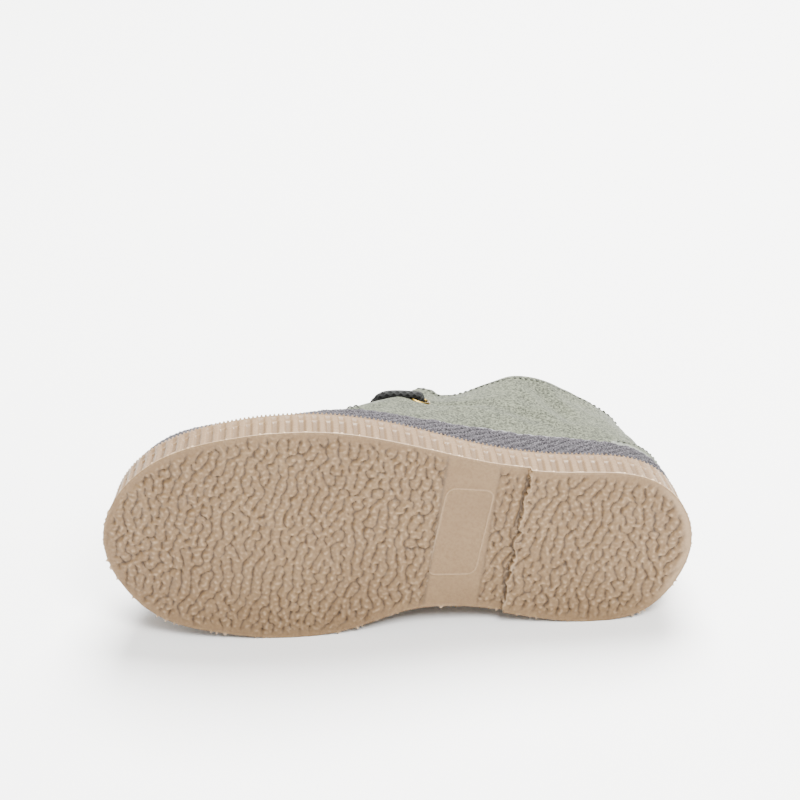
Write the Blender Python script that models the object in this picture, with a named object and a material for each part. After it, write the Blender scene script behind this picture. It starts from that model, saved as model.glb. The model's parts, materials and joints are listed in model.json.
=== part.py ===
"""A child's left ankle boot in suede on a ribbed rubber cup sole, lying on its inner side.

The boot is modelled upright in millimetres: x runs from the heel to the toe, y to the outer side
and z up from the ground. An empty then lays it on its inner side, sole edge and collar on the floor.
"""

import math

import bmesh
import bpy
import numpy as np
from mathutils import Matrix

MM = 0.001

# Driving sizes of the boot, in millimetres
SOLE_LENGTH = 188.5
BALL_WIDTH = 73.5
INSTEP_HEIGHT = 63.0
COLLAR_HEIGHT = 81.0
HEEL_BACK_HEIGHT = 76.5
GAP = 0.3

# Rubber cup sole
RIM_HEIGHT = 18.0
CUP_FLOOR = 10.0
CUP_CLEARANCE = 0.5
TOE_SPRING = 6.0
SPRING_START = 0.72 * SOLE_LENGTH
SPRING_SHARES = (0.0, 0.35, 0.65, 1.1)
ARCH_RISE = 2.0
ARCH_END = 0.52 * SOLE_LENGTH
BREAST_PLACE = 0.298 * SOLE_LENGTH
JOINT_SLANT = 0.164
RIB_COUNT = 104
RIB_DEPTH = 0.7
RIB_TOP = 13.5
RIB_TOP_STEP = 0.5
RIB_EDGES = (0.02, 0.43, 0.48, 0.97)

# Suede upper, twill rand and inside pieces
WALL = 2.0
QUARTER_STEP = 1.0
SEAM_WIDTH = 0.004
RIM_WIDTH = 3.4
RAND_HEIGHT = 16.0
RAND_HEEL_DIP = 3.0
RAND_THICKNESS = 2.2
COUNTER_THICKNESS = 1.2
COUNTER_RISE = 9.0
COUNTER_SPAN = 0.085
INSOLE_THICKNESS = 2.5
INSOLE_CLEARANCE = 0.9
UPPER_COLUMNS = 83
UPPER_ROWS = 11

# Tongue, eyelets and lace
TONGUE_THICKNESS = 1.8
TONGUE_CURVE = 8.0
EYELET_TOP = {"along": 0.424, "from_edge": 18.0}
EYELET_LOW = {"along": 0.512, "from_edge": 9.0}
EYELET_HOLE = 4.2
EYELET_BARREL = 4.9
EYELET_FLANGE = 7.2
EYELET_INNER_FLANGE = 6.2
EYELET_METAL = 0.5
EYELET_LIFT = 0.9
EYELET_INNER_LIFT = 1.5
EYELET_SEGMENTS = 12
LACE_DIAMETER = 2.6
LACE_SIDES = 8
LACE_TURN = 2.1
LACE_ARCH = 2.2
LACE_BAR_RISE = 2.2

# Where the boot's weight is centred, which decides the side that it comes to rest on
BALANCE_POINT = (0.48 * SOLE_LENGTH, 2.0, 0.3 * COLLAR_HEIGHT)

# Tread edge of the sole from below, heel to toe along the outer side and back along the inner side.
# along: share of the sole's length; across: share of the ball width; draft: how far the wall leans in
OUTLINE = (
    # name             along   across  draft
    ("heel_back",      0.000,  0.020,  2.0),
    ("heel_back_lat",  0.017,  0.207,  2.2),
    ("heel_lat",       0.058,  0.313,  2.2),
    ("heel_front_lat", 0.212,  0.366,  1.4),
    ("waist_lat",      0.361,  0.416,  1.2),
    ("shoulder_lat",   0.488,  0.503,  1.2),
    ("ball_lat",       0.621,  0.556,  1.2),
    ("fore_lat",       0.775,  0.520,  1.2),
    ("toe_corner_lat", 0.897,  0.404,  1.6),
    ("toe_side_lat",   0.966,  0.239,  1.2),
    ("toe_tip",        1.000, -0.010,  2.0),
    ("toe_side_med",   0.973, -0.205,  2.0),
    ("toe_corner_med", 0.907, -0.360,  1.6),
    ("fore_med",       0.806, -0.425,  1.2),
    ("ball_med",       0.695, -0.447,  1.4),
    ("ball_rear_med",  0.573, -0.397,  1.2),
    ("waist_fore_med", 0.477, -0.310,  1.0),
    ("waist_med",      0.393, -0.296,  1.0),
    ("heel_front_med", 0.265, -0.343,  1.4),
    ("heel_med",       0.159, -0.363,  1.6),
    ("heel_side_med",  0.074, -0.302,  1.8),
    ("heel_back_med",  0.024, -0.161,  2.0),
)

# Profiles of the upper, heel to toe, each for one outer and one inner station of the outline.
# edge_along, edge_out, edge_up: the collar or throat edge, along the boot, out from the axis and up.
# rise, lean: how far the wall runs straight up from the sole, and how far it leans in there.
# ahead, out, drop: how far the profile comes in to that edge from ahead, from outside and from below.
UPPER_PROFILES = (
    # outer station     inner station     along   out   edge_up                rise  lean  ahead   out   drop
    ("heel_back",      "heel_back",       0.094,  0.0, HEEL_BACK_HEIGHT,       26.0, -1.2,  -4.0,  0.0, 22.0),
    ("heel_lat",       "heel_side_med",   0.120, 10.4, HEEL_BACK_HEIGHT + 0.5, 26.0, -0.2,  -3.0,  3.0, 22.0),
    ("heel_front_lat", "heel_front_med",  0.205, 19.3, COLLAR_HEIGHT - 2.0,    26.0,  0.2,   0.0,  0.0, 22.0),
    ("waist_lat",      "waist_med",       0.300, 21.3, COLLAR_HEIGHT,          26.0,  1.0,   2.0,  0.0, 20.0),
    ("shoulder_lat",   "waist_fore_med",  0.405, 15.2, COLLAR_HEIGHT - 5.0,    26.0,  2.4,   4.0,  3.6, 14.0),
    ("ball_lat",       "ball_rear_med",   0.456, 18.6, INSTEP_HEIGHT + 10.6,   22.0,  3.4,   5.0,  1.6, 11.0),
    ("fore_lat",       "ball_med",        0.516,  7.2, INSTEP_HEIGHT + 2.0,    21.0,  4.0,  26.0,  8.2, 11.0),
    ("toe_corner_lat", "toe_corner_med",  0.553,  6.0, INSTEP_HEIGHT + 1.0,    27.0,  2.0,  48.0, 10.0, 10.0),
    ("toe_tip",        "toe_tip",         0.560,  0.0, INSTEP_HEIGHT,          34.0,  0.0,  58.0,  0.0,  9.0),
)

# The quarters' front edge on its way from the sole, row 0, to the end of the throat, row 1
QUARTER_FRONT = (
    # row   along
    (0.00, 0.560),
    (0.40, 0.585),
    (0.65, 0.600),
    (0.80, 0.602),
    (0.90, 0.588),
    (0.95, 0.572),
    (1.00, 0.552),
)

# The tongue's middle line from under the vamp to its free end, and its half width there
TONGUE_PROFILE = (
    # along   up    half_width
    (0.612, 58.6, 12.0),
    (0.565, 56.0, 14.0),
    (0.517, 56.8, 15.0),
    (0.465, 62.0, 13.6),
    (0.415, 69.5, 13.0),
    (0.378, 77.5, 13.0),
    (0.362, 82.5, 11.5),
)


def axis_offset(along_mm):
    """How far the boot's middle line lies to the outer side, which grows from the heel to the instep."""
    share = np.clip((along_mm - 0.15 * SOLE_LENGTH) / (0.4 * SOLE_LENGTH), 0.0, 1.0)
    return 3.5 * share * share * (3.0 - 2.0 * share)


def joint_place(point):
    """Distance from the heel measured square to the slanted ball line, as the heel breast runs."""
    return point[..., 0] + JOINT_SLANT * point[..., 1]


def spring_height(place):
    """Rise of the sole's toe above the ground, in straight slopes that steepen towards the tip."""
    share = (place - SPRING_START) / (SOLE_LENGTH - SPRING_START)
    return TOE_SPRING * np.interp(share, SPRING_SHARES, np.power(SPRING_SHARES, 1.7))


def arch_height(place):
    """Rise of the waist under the arch, highest at the heel breast."""
    return ARCH_RISE * np.clip((ARCH_END - place) / (ARCH_END - BREAST_PLACE), 0.0, 1.0)


def closed_spline(knots, values):
    """A smooth closed curve through rows of values at knots from 0 up to 1, as a function of the place."""
    knots = np.asarray(knots, float)
    values = np.asarray(values, float)
    count = len(knots)
    step = np.diff(np.append(knots, 1.0 + knots[0]))
    slope = (np.roll(values, -1, 0) - values) / step[:, None]
    system = np.zeros((count, count))
    for i in range(count):
        before = step[i - 1]
        system[i, i - 1] += before
        system[i, i] += 2.0 * (before + step[i])
        system[i, (i + 1) % count] += step[i]
    bend = np.linalg.solve(system, 6.0 * (slope - np.roll(slope, 1, 0)))

    def value(place):
        place = (np.asarray(place, float) - knots[0]) % 1.0 + knots[0]
        i = np.clip(np.searchsorted(knots, place, side="right") - 1, 0, count - 1)
        after = (i + 1) % count
        h = step[i][..., None]
        b = (place - knots[i])[..., None] / h
        a = 1.0 - b
        curve = ((a ** 3 - a) * bend[i] + (b ** 3 - b) * bend[after]) * h * h / 6.0
        return a * values[i] + b * values[after] + curve

    return value


def outline_knots():
    """Place of each outline row along the closed outline, 0 to 1, by the length of the straight runs."""
    points = np.array([(along * SOLE_LENGTH, across * BALL_WIDTH) for _, along, across, _ in OUTLINE])
    runs = np.linalg.norm(np.roll(points, -1, 0) - points, axis=1)
    return np.append(0.0, np.cumsum(runs)[:-1]) / runs.sum(), points


OUTLINE_KNOTS, OUTLINE_POINTS = outline_knots()
OUTLINE_PLACE = dict(zip([row[0] for row in OUTLINE], OUTLINE_KNOTS))
outline_curve = closed_spline(OUTLINE_KNOTS, OUTLINE_POINTS)
draft_curve = closed_spline(OUTLINE_KNOTS, [[row[3]] for row in OUTLINE])


def even_places(count, shares=(0.0,)):
    """Places along the outline at even lengths, with one place for each share of every step."""
    dense = np.linspace(0.0, 1.0, 4001)
    runs = np.linalg.norm(np.diff(outline_curve(dense), axis=0), axis=1)
    length = np.append(0.0, np.cumsum(runs))
    wanted = (np.arange(count)[:, None] + np.asarray(shares)).ravel() / count * length[-1]
    return np.interp(wanted, length, dense)


def outline_inset(place, inset):
    """Points of the outline moved in by inset, which may differ from place to place."""
    step = 1e-4
    tangent = outline_curve(place + step) - outline_curve(place - step)
    tangent /= np.linalg.norm(tangent, axis=-1, keepdims=True)
    inward = np.stack([tangent[..., 1], -tangent[..., 0]], -1)
    return outline_curve(place) + inward * np.asarray(inset)[..., None]


def upper_controls():
    """Spline of the upper's profile numbers round the whole boot: outer side, toe, then inner side."""
    rows = []
    for outer, _, *numbers in UPPER_PROFILES:
        rows.append((OUTLINE_PLACE[outer], 1.0, numbers))
    for _, inner, *numbers in UPPER_PROFILES[-2:0:-1]:
        rows.append((OUTLINE_PLACE[inner], -1.0, numbers))
    values = []
    for _, side, (along, out, up, rise, lean, ahead, crown_out, drop) in rows:
        x = along * SOLE_LENGTH
        values.append((x, axis_offset(x) + side * out, up, rise, lean, ahead, side * crown_out, drop))
    return closed_spline([row[0] for row in rows], values)


profile_curve = upper_controls()


def upper_point(place, t):
    """Points of the upper's outer face: place goes round the boot and t from the sole, 0, to the edge, 1."""
    place, t = np.broadcast_arrays(np.asarray(place, float), np.asarray(t, float))
    inset = draft_curve(place)[..., 0] + RIM_WIDTH
    foot = outline_inset(place, inset)
    lean_to = outline_inset(place, inset + profile_curve(place)[..., 4])
    x, y, z, rise, _, ahead, out, drop = np.moveaxis(profile_curve(place), -1, 0)
    base = CUP_FLOOR + GAP + spring_height(joint_place(foot))
    p0 = np.concatenate([foot, base[..., None]], -1)
    p1 = np.concatenate([lean_to, (base + rise)[..., None]], -1)
    p2 = np.stack([x + ahead, y + out, z - drop], -1)
    p3 = np.stack([x, y, z], -1)
    t = t[..., None]
    s = 1.0 - t
    return s ** 3 * p0 + 3 * s * s * t * p1 + 3 * s * t * t * p2 + t ** 3 * p3


def upper_normal(place, t):
    """Outward unit normal of the upper's outer face."""
    step = 1e-3
    low, high = np.clip(t - step, 0.0, 1.0), np.clip(t + step, 0.0, 1.0)
    around = upper_point(place + step, t) - upper_point(place - step, t)
    up = upper_point(place, high) - upper_point(place, low)
    normal = np.cross(up, around)
    return normal / np.linalg.norm(normal, axis=-1, keepdims=True)


def upper_at_height(place, above_base):
    """The t at which each profile reaches a height above the ground line of the sole."""
    dense = np.linspace(0.0, 0.9, 181)
    base = spring_height(joint_place(outline_curve(place)))
    found = []
    for one, want in zip(place, above_base + base):
        found.append(np.interp(want, upper_point(one, dense)[:, 2], dense))
    return np.array(found)


def upper_offset(place, t, offset):
    """Points at a distance outside the upper's outer face."""
    return upper_point(place, t) + upper_normal(place, t) * np.asarray(offset)[..., None]


def cup_floor(place, offset):
    """Points of the cup's floor at a distance outside the foot of the upper."""
    foot = upper_point(place, np.zeros(len(place)))
    floor = upper_offset(place, np.zeros(len(place)), np.full(len(place), offset))
    floor[:, 2] = foot[:, 2] - GAP
    return floor


def material(name, colour, roughness, metallic=0.0):
    made = bpy.data.materials.new(name)
    made.use_nodes = True
    shader = made.node_tree.nodes["Principled BSDF"]
    shader.inputs["Base Color"].default_value = (*colour, 1.0)
    shader.inputs["Roughness"].default_value = roughness
    shader.inputs["Metallic"].default_value = metallic
    return made


def add_piece(name, points, faces, finish):
    """One named object from points in millimetres and faces that point outward."""
    mesh = bpy.data.meshes.new(name)
    mesh.from_pydata([tuple(float(c) * MM for c in p) for p in points], [], faces)
    made = bmesh.new()
    made.from_mesh(mesh)
    bmesh.ops.recalc_face_normals(made, faces=made.faces)
    made.to_mesh(mesh)
    made.free()
    mesh.materials.append(finish)
    mesh.shade_smooth()
    mesh.set_sharp_from_angle(angle=math.radians(35.0))
    piece = bpy.data.objects.new(name, mesh)
    bpy.context.scene.collection.objects.link(piece)
    return piece


def shell(outer, inner, closed):
    """Points and faces of a wall between two grids of columns and rows, closed into a ring or open."""
    columns, rows = outer.shape[:2]
    points = np.concatenate([outer.reshape(-1, 3), inner.reshape(-1, 3)])
    shift = columns * rows

    def at(column, row, face):
        return face * shift + (column % columns) * rows + row

    faces = []
    last = columns if closed else columns - 1
    for c in range(last):
        for r in range(rows - 1):
            faces.append((at(c, r, 0), at(c + 1, r, 0), at(c + 1, r + 1, 0), at(c, r + 1, 0)))
            faces.append((at(c, r + 1, 1), at(c + 1, r + 1, 1), at(c + 1, r, 1), at(c, r, 1)))
        for r in (0, rows - 1):
            faces.append((at(c, r, 0), at(c, r, 1), at(c + 1, r, 1), at(c + 1, r, 0)))
    if not closed:
        for c in (0, columns - 1):
            for r in range(rows - 1):
                faces.append((at(c, r, 0), at(c, r + 1, 0), at(c, r + 1, 1), at(c, r, 1)))
    return points, faces


def lifted(plan, heights):
    """Plan points with their heights."""
    return np.concatenate([plan, np.asarray(heights)[..., None]], -1)


def nearest_columns(points, place):
    """The two columns, outer side then inner side, that lie nearest to a slanted line across the sole."""
    miss = np.abs(joint_place(points) - place)
    half = int(np.argmax(points[:, 0]))
    return int(np.argmin(miss[:half])), half + int(np.argmin(miss[half:]))


def zone_faces(loop, breaks, reverse):
    """Flat faces across a loop of points, split along lines between pairs of columns from heel to toe."""
    count = len(loop)
    zones = []
    lateral, medial = breaks[0]
    zones.append([*range(medial, count), *range(0, lateral + 1)])
    for (lat, med), (next_lat, next_med) in zip(breaks, breaks[1:]):
        zones.append([*range(lat, next_lat + 1), *range(next_med, med + 1)])
    lateral, medial = breaks[-1]
    zones.append([*range(lateral, medial + 1)])
    return [tuple(loop[i] for i in (zone[::-1] if reverse else zone)) for zone in zones]


def spring_lines():
    """Lines across the sole where the toe spring changes its slope."""
    return [SPRING_START + share * (SOLE_LENGTH - SPRING_START) for share in SPRING_SHARES[:-1]]


def build_outsole(finish):
    """Rubber cup sole: ribbed wall, rim, cup for the upper, heel breast, arch and toe spring."""
    fine = even_places(RIB_COUNT, RIB_EDGES)
    coarse = fine[::len(RIB_EDGES)]
    groove = np.tile((0.0, 0.0, RIB_DEPTH, RIB_DEPTH), RIB_COUNT)
    draft = draft_curve(fine)[:, 0]
    ground = outline_curve(fine)
    spring = spring_height(joint_place(ground))
    count = len(fine)

    def wall_loop(height, wave):
        plan = outline_inset(fine, draft * height / RIM_HEIGHT + wave)
        return lifted(plan, spring + height)

    tread = outline_inset(fine, groove)
    breast_lat, breast_med = nearest_columns(tread, BREAST_PLACE)
    front = (np.arange(count) >= breast_lat) & (np.arange(count) <= breast_med)
    rise = np.where(front, arch_height(joint_place(tread)), 0.0)
    loops = [
        lifted(tread, spring + rise),
        wall_loop(RIB_TOP, groove),
        wall_loop(RIB_TOP + RIB_TOP_STEP, 0.0),
        wall_loop(RIM_HEIGHT, 0.0),
    ]
    points = [p for loop in loops for p in loop]
    breast_points = [len(points), len(points) + 1]
    points += [(*tread[breast_lat], 0.0), (*tread[breast_med], 0.0)]
    rim_t = upper_at_height(coarse, RIM_HEIGHT)
    rim_inner = upper_offset(coarse, rim_t, np.full(len(coarse), CUP_CLEARANCE))
    rim_inner[:, 2] = RIM_HEIGHT + spring_height(joint_place(outline_curve(coarse)))
    floor = cup_floor(coarse, CUP_CLEARANCE)
    inner_start = len(points)
    points += [*rim_inner, *floor]

    faces = []
    heel_low = {breast_lat: breast_points[0], breast_med: breast_points[1]}
    for k in range(count):
        after = (k + 1) % count
        in_front = breast_lat <= k < breast_med
        low = [k, after]
        if not in_front:
            low = [heel_low.get(k, k), heel_low.get(after, after)]
        face = [low[0], low[1], count + after, count + k]
        if not in_front and after in heel_low:
            face.insert(2, after)
        if not in_front and k in heel_low:
            face.append(k)
        faces.append(tuple(face))
        for level in (1, 2):
            a, b = level * count, (level + 1) * count
            faces.append((a + k, a + after, b + after, b + k))
    faces.append((heel_low[breast_lat], breast_lat, breast_med, heel_low[breast_med]))

    steps = len(RIB_EDGES)
    rim_start = 3 * count
    ring = len(coarse)
    for c in range(ring):
        after = (c + 1) % ring
        a, b = inner_start + c, inner_start + after
        fan = [rim_start + (c * steps + i) % count for i in range(steps + 1)]
        faces += [(fan[i], fan[i + 1], a) for i in range(steps)]
        faces.append((fan[-1], b, a))
        faces.append((a, b, b + ring, a + ring))

    heel_loop = [heel_low.get(i, i) for i in range(count)]
    tread_breaks = [nearest_columns(tread, place) for place in (ARCH_END, *spring_lines())]
    faces.append(tuple(heel_loop[i] for i in [*range(breast_med, count), *range(0, breast_lat + 1)]))
    faces += zone_faces(list(range(count)), [(breast_lat, breast_med), *tread_breaks], True)[1:]
    floor_breaks = [nearest_columns(floor, place) for place in spring_lines()]
    faces += zone_faces([inner_start + ring + i for i in range(ring)], floor_breaks, False)
    return add_piece("outsole", points, faces, finish)


def side_place(side, along, edge):
    """Place on the outer (1) or inner (-1) side whose foot or top edge lies that far along the sole."""
    dense = np.linspace(0.0 if side > 0 else 1.0, OUTLINE_PLACE["toe_tip"], 801)
    reach = profile_curve(dense)[:, 0] if edge == "top" else outline_curve(dense)[:, 0]
    return float(np.interp(along * SOLE_LENGTH, reach, dense))


def seam_places(side, rows):
    """Places where the quarter's front edge crosses each row, on its way from the sole up to the throat."""
    dense = np.linspace(0.0 if side > 0 else 1.0, OUTLINE_PLACE["toe_tip"], 401)
    shares = np.interp(rows, *np.transpose(QUARTER_FRONT))
    reach = [upper_point(dense, row)[:, 0] for row in rows]
    return np.array([np.interp(share * SOLE_LENGTH, x, dense) for share, x in zip(shares, reach)])


def slanted_places(places, side, rows):
    """One side's columns on every row, moved so that the column at the quarter's front edge follows it."""
    toe = OUTLINE_PLACE["toe_tip"]
    heel = 0.0 if side > 0 else 1.0
    seam = seam_places(side, rows)
    foot = seam[0]
    place = np.repeat(places[:, None], len(rows), 1)
    behind = heel + (place - heel) * (seam - heel) / (foot - heel)
    ahead = toe - (toe - place) * (toe - seam) / (toe - foot)
    return np.where((place - foot) * (toe - foot) > 0.0, ahead, behind)


def slanted_grid(places, rows):
    """Both sides' columns on every row."""
    outer_side = places[:, None] < OUTLINE_PLACE["toe_tip"]
    return np.where(outer_side, slanted_places(places, 1, rows), slanted_places(places, -1, rows))


def upper_columns():
    """Places of the upper's columns, spread evenly over the foot and the top edge together."""
    dense = np.linspace(0.0, 1.0, 2001)
    ends = np.array((0.0, 1.0))
    edges = upper_point(slanted_grid(dense, ends), ends)
    runs = np.linalg.norm(np.diff(edges, axis=0), axis=-1).sum(1)
    length = np.append(0.0, np.cumsum(runs))
    return np.interp(np.arange(UPPER_COLUMNS) / UPPER_COLUMNS * length[-1], length, dense)


def upper_grid():
    """Columns and rows of the upper that follow the quarters' front edges, and where the quarters lie."""
    rows = np.linspace(0.0, 1.0, UPPER_ROWS)
    feet = [float(seam_places(side, rows)[0]) for side in (1, -1)]
    places = np.array([p for p in upper_columns() if min(abs(p - foot) for foot in feet) > 1.5 * SEAM_WIDTH])
    places = np.sort(np.append(places, [foot + side * SEAM_WIDTH / 2 for foot in feet for side in (-1, 1)]))
    quarter = np.where((places > feet[0]) & (places < feet[1]), 0.0, 1.0)
    return slanted_grid(places, rows), np.repeat(rows[None, :], len(places), 0), quarter


def build_upper(finish, holes):
    """Suede vamp and quarters as one hollow wall, open at collar, throat and underneath."""
    place, t, quarter = upper_grid()
    above_rand = np.clip(t * 6.0 - 2.1, 0.0, 1.0)
    outer = upper_offset(place, t, QUARTER_STEP * quarter[:, None] * above_rand)
    inner = upper_offset(place, t, np.full(place.shape, -WALL))
    inner[:, 0, 2] = outer[:, 0, 2]
    upper = add_piece("upper", *shell(outer, inner, True), finish)
    cut = upper.modifiers.new("eyelet_holes", "BOOLEAN")
    cut.operation = "DIFFERENCE"
    cut.solver = "EXACT"
    cut.object = holes
    return upper


def rand_top(place):
    """Height of the rand's upper edge above the ground line of the sole, which dips round the heel."""
    from_heel = np.minimum(place % 1.0, 1.0 - place % 1.0)
    share = np.clip((from_heel - 0.04) / 0.12, 0.0, 1.0)
    return RIM_HEIGHT + GAP + RAND_HEIGHT - RAND_HEEL_DIP * (1.0 - share * share * (3.0 - 2.0 * share))


def build_rand(finish):
    """Twill rand: a thick woven band round the foot of the upper, standing on the sole's rim."""
    places = even_places(UPPER_COLUMNS)
    low = upper_at_height(places, RIM_HEIGHT + GAP)
    high = upper_at_height(places, rand_top(places))
    share = np.array((0.0, 0.35, 0.75, 1.0))
    bulge = np.array((0.8, 1.0, 0.95, 0.55))
    place = np.repeat(places[:, None], len(share), 1)
    t = low[:, None] + (high - low)[:, None] * share
    gap = np.full(place.shape, GAP)
    outer = upper_offset(place, t, gap + RAND_THICKNESS * bulge)
    inner = upper_offset(place, t, gap)
    base = RIM_HEIGHT + GAP + spring_height(joint_place(outline_curve(places)))
    outer[:, 0, 2] = base
    inner[:, 0, 2] = base
    return add_piece("rand", *shell(outer, inner, True), finish)


def build_insole(finish):
    """Footbed that lies on the cup's floor inside the upper."""
    places = even_places(RIB_COUNT, RIB_EDGES[:1])
    floor = cup_floor(places, CUP_CLEARANCE)
    low = cup_floor(places, -WALL - INSOLE_CLEARANCE)
    low[:, 2] += GAP
    high = low.copy()
    high[:, 2] += INSOLE_THICKNESS
    count = len(places)
    points = [*low, *high]
    breaks = [nearest_columns(floor, place) for place in spring_lines()]
    faces = zone_faces(list(range(count)), breaks, True)
    faces += zone_faces([count + i for i in range(count)], breaks, False)
    for c in range(count):
        after = (c + 1) % count
        faces.append((c, after, count + after, count + c))
    return add_piece("insole", points, faces, finish)


def build_counter(finish):
    """Suede heel patch, a low crescent over the back of the quarters just above the rand."""
    reach = np.linspace(-1.0, 1.0, 21)
    places = reach * COUNTER_SPAN
    foot = rand_top(places) + 2 * GAP
    rise = COUNTER_RISE * (0.08 + 0.92 * (1.0 - np.abs(reach) ** 1.6))
    low = upper_at_height(places % 1.0, foot)
    high = upper_at_height(places % 1.0, foot + rise)
    share = np.linspace(0.0, 1.0, 4)
    place = np.repeat(places[:, None], len(share), 1)
    t = low[:, None] + (high - low)[:, None] * share
    base = QUARTER_STEP + GAP
    outer = upper_offset(place, t, np.full(place.shape, base + COUNTER_THICKNESS))
    inner = upper_offset(place, t, np.full(place.shape, base))
    return add_piece("heel_counter", *shell(outer, inner, False), finish)


def smooth_rows(table, count):
    """Rows of a short table filled in to an even count by a smooth curve through them."""
    rows = np.asarray(table, float)
    padded = np.vstack([2 * rows[0] - rows[1], rows, 2 * rows[-1] - rows[-2]])
    at = np.linspace(0.0, len(rows) - 1.0, count)
    i = np.minimum(at.astype(int), len(rows) - 2)
    f = (at - i)[:, None]
    a, b, c, d = (padded[i + k] for k in range(4))
    return b + 0.5 * f * (c - a + f * (2 * a - 5 * b + 4 * c - d + f * (3 * (b - c) + d - a)))


def build_tongue(finish):
    """Suede tongue: a curved sheet from under the vamp up through the throat to above the collar."""
    rows = smooth_rows(TONGUE_PROFILE, 11)
    across = np.linspace(-1.0, 1.0, 9)
    x = np.repeat(rows[:, :1] * SOLE_LENGTH, len(across), 1)
    y = axis_offset(x) + rows[:, 2:] * across
    z = rows[:, 1:2] - TONGUE_CURVE * across ** 2
    outer = np.stack([x, y, z], -1)
    along = np.gradient(outer, axis=0)
    sideways = np.gradient(outer, axis=1)
    normal = np.cross(along, sideways)
    normal /= np.linalg.norm(normal, axis=-1, keepdims=True)
    normal *= np.sign(normal[..., 2:])
    inner = outer - normal * TONGUE_THICKNESS
    return add_piece("tongue", *shell(outer, inner, False), finish)


def surface_frame(side, along, from_edge):
    """Point on the quarter's outer face, some distance below its edge, and the way out of the face."""
    place = side_place(side, along, "top")
    t = np.linspace(0.5, 1.0, 401)
    curve = upper_point(np.full(len(t), place), t)
    below = np.append(np.cumsum(np.linalg.norm(np.diff(curve[::-1], axis=0), axis=1))[::-1], 0.0)
    at = np.array([np.interp(-from_edge, -below, t)])
    normal = upper_normal(np.array([place]), at)[0]
    return upper_point(np.array([place]), at)[0] + normal * QUARTER_STEP, normal


def ring_axes(normal):
    """Two directions square to a normal and to each other."""
    side = np.cross(normal, (1.0, 0.0, 0.0))
    side /= np.linalg.norm(side)
    return side, np.cross(normal, side)


def turned(centre, normal, profile, segments):
    """Points and faces of a closed profile of radius and height turned about a normal."""
    u, v = ring_axes(normal)
    count = len(profile)
    points = []
    for k in range(segments):
        angle = 2.0 * math.pi * k / segments
        spoke = u * math.cos(angle) + v * math.sin(angle)
        points += [centre + spoke * radius + normal * height for radius, height in profile]
    faces = []
    for k in range(segments):
        a, b = k * count, (k + 1) % segments * count
        for i in range(count):
            j = (i + 1) % count
            faces.append((a + i, b + i, b + j, a + j))
    return points, faces


def build_eyelet(name, centre, normal, finish):
    """Brass eyelet: a flange outside, a barrel through the quarter and a rolled flange inside."""
    hole, barrel = EYELET_HOLE / 2, EYELET_BARREL / 2
    flange, inside = EYELET_FLANGE / 2, EYELET_INNER_FLANGE / 2
    low = -(WALL + QUARTER_STEP + EYELET_INNER_LIFT)
    profile = (
        (hole, EYELET_LIFT + EYELET_METAL * 1.4),
        (flange, EYELET_LIFT + EYELET_METAL * 0.6),
        (flange, EYELET_LIFT),
        (barrel, EYELET_LIFT),
        (barrel, low),
        (inside, low),
        (inside, low - EYELET_METAL),
        (hole, low - EYELET_METAL),
    )
    return add_piece(name, *turned(centre, normal, profile, EYELET_SEGMENTS), finish)


def build_eyelet_holes(frames, finish):
    """Cutter for the holes that the eyelet barrels pass through."""
    points, faces = [], []
    for centre, normal in frames.values():
        u, v = ring_axes(normal)
        start = len(points)
        for end in (-3.0 * WALL, 2.0 * WALL):
            for k in range(EYELET_SEGMENTS):
                angle = 2.0 * math.pi * k / EYELET_SEGMENTS
                spoke = u * math.cos(angle) + v * math.sin(angle)
                points.append(centre + normal * end + spoke * (EYELET_BARREL / 2 + GAP))
        ring = [start + k for k in range(EYELET_SEGMENTS)]
        lid = [k + EYELET_SEGMENTS for k in ring]
        faces += [tuple(ring[::-1]), tuple(lid)]
        for k in range(EYELET_SEGMENTS):
            j = (k + 1) % EYELET_SEGMENTS
            faces.append((ring[k], ring[j], lid[j], lid[k]))
    return hidden_cutter(add_piece("eyelet_holes", points, faces, finish))


def hidden_cutter(piece):
    piece.hide_render = True
    piece.display_type = "WIRE"
    return piece


def lace_turn(centre, way, towards):
    """Route of the lace as it leaves an eyelet along a way and bends over its flange towards a point."""
    heading = towards - centre
    heading -= way * heading.dot(way)
    heading /= np.linalg.norm(heading)
    return [
        centre,
        centre + way * 0.7 * LACE_TURN + heading * 0.3 * LACE_TURN,
        centre + way * LACE_TURN + heading * 1.7 * LACE_TURN,
    ]


def lace_half(frames, side, middle):
    """Route from one side's top eyelet along the quarter and in at its low eyelet, to the middle."""
    run, run_way = surface_frame(side, *(0.5 * (EYELET_TOP[key] + EYELET_LOW[key]) for key in EYELET_TOP))
    run = run + run_way * LACE_ARCH
    outside = EYELET_LIFT + EYELET_METAL
    inside = WALL + QUARTER_STEP + EYELET_INNER_LIFT + EYELET_METAL
    top, top_way = frames[side, "top"]
    low, low_way = frames[side, "low"]
    return [
        top - top_way * (WALL + QUARTER_STEP),
        top - top_way * 1.0,
        *lace_turn(top + top_way * outside, top_way, run),
        run,
        *lace_turn(low + low_way * outside, low_way, run)[::-1],
        low - low_way * 0.5 * inside,
        *lace_turn(low - low_way * inside, -low_way, middle),
    ]


def tube(route, radius, sides):
    """Points and faces of a closed tube along a route."""
    ahead = np.gradient(route, axis=0)
    ahead /= np.linalg.norm(ahead, axis=1, keepdims=True)
    side = np.cross(ahead[0], (0.3, 0.2, 0.9))
    points = []
    for centre, way in zip(route, ahead):
        side = side - way * side.dot(way)
        side /= np.linalg.norm(side)
        other = np.cross(way, side)
        for k in range(sides):
            angle = 2.0 * math.pi * k / sides
            points.append(centre + radius * (side * math.cos(angle) + other * math.sin(angle)))
    faces = [tuple(range(sides))[::-1], tuple(range(len(points) - sides, len(points)))]
    for i in range(len(route) - 1):
        for k in range(sides):
            j = (k + 1) % sides
            a = i * sides
            faces.append((a + k, a + j, a + sides + j, a + sides + k))
    return points, faces


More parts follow.
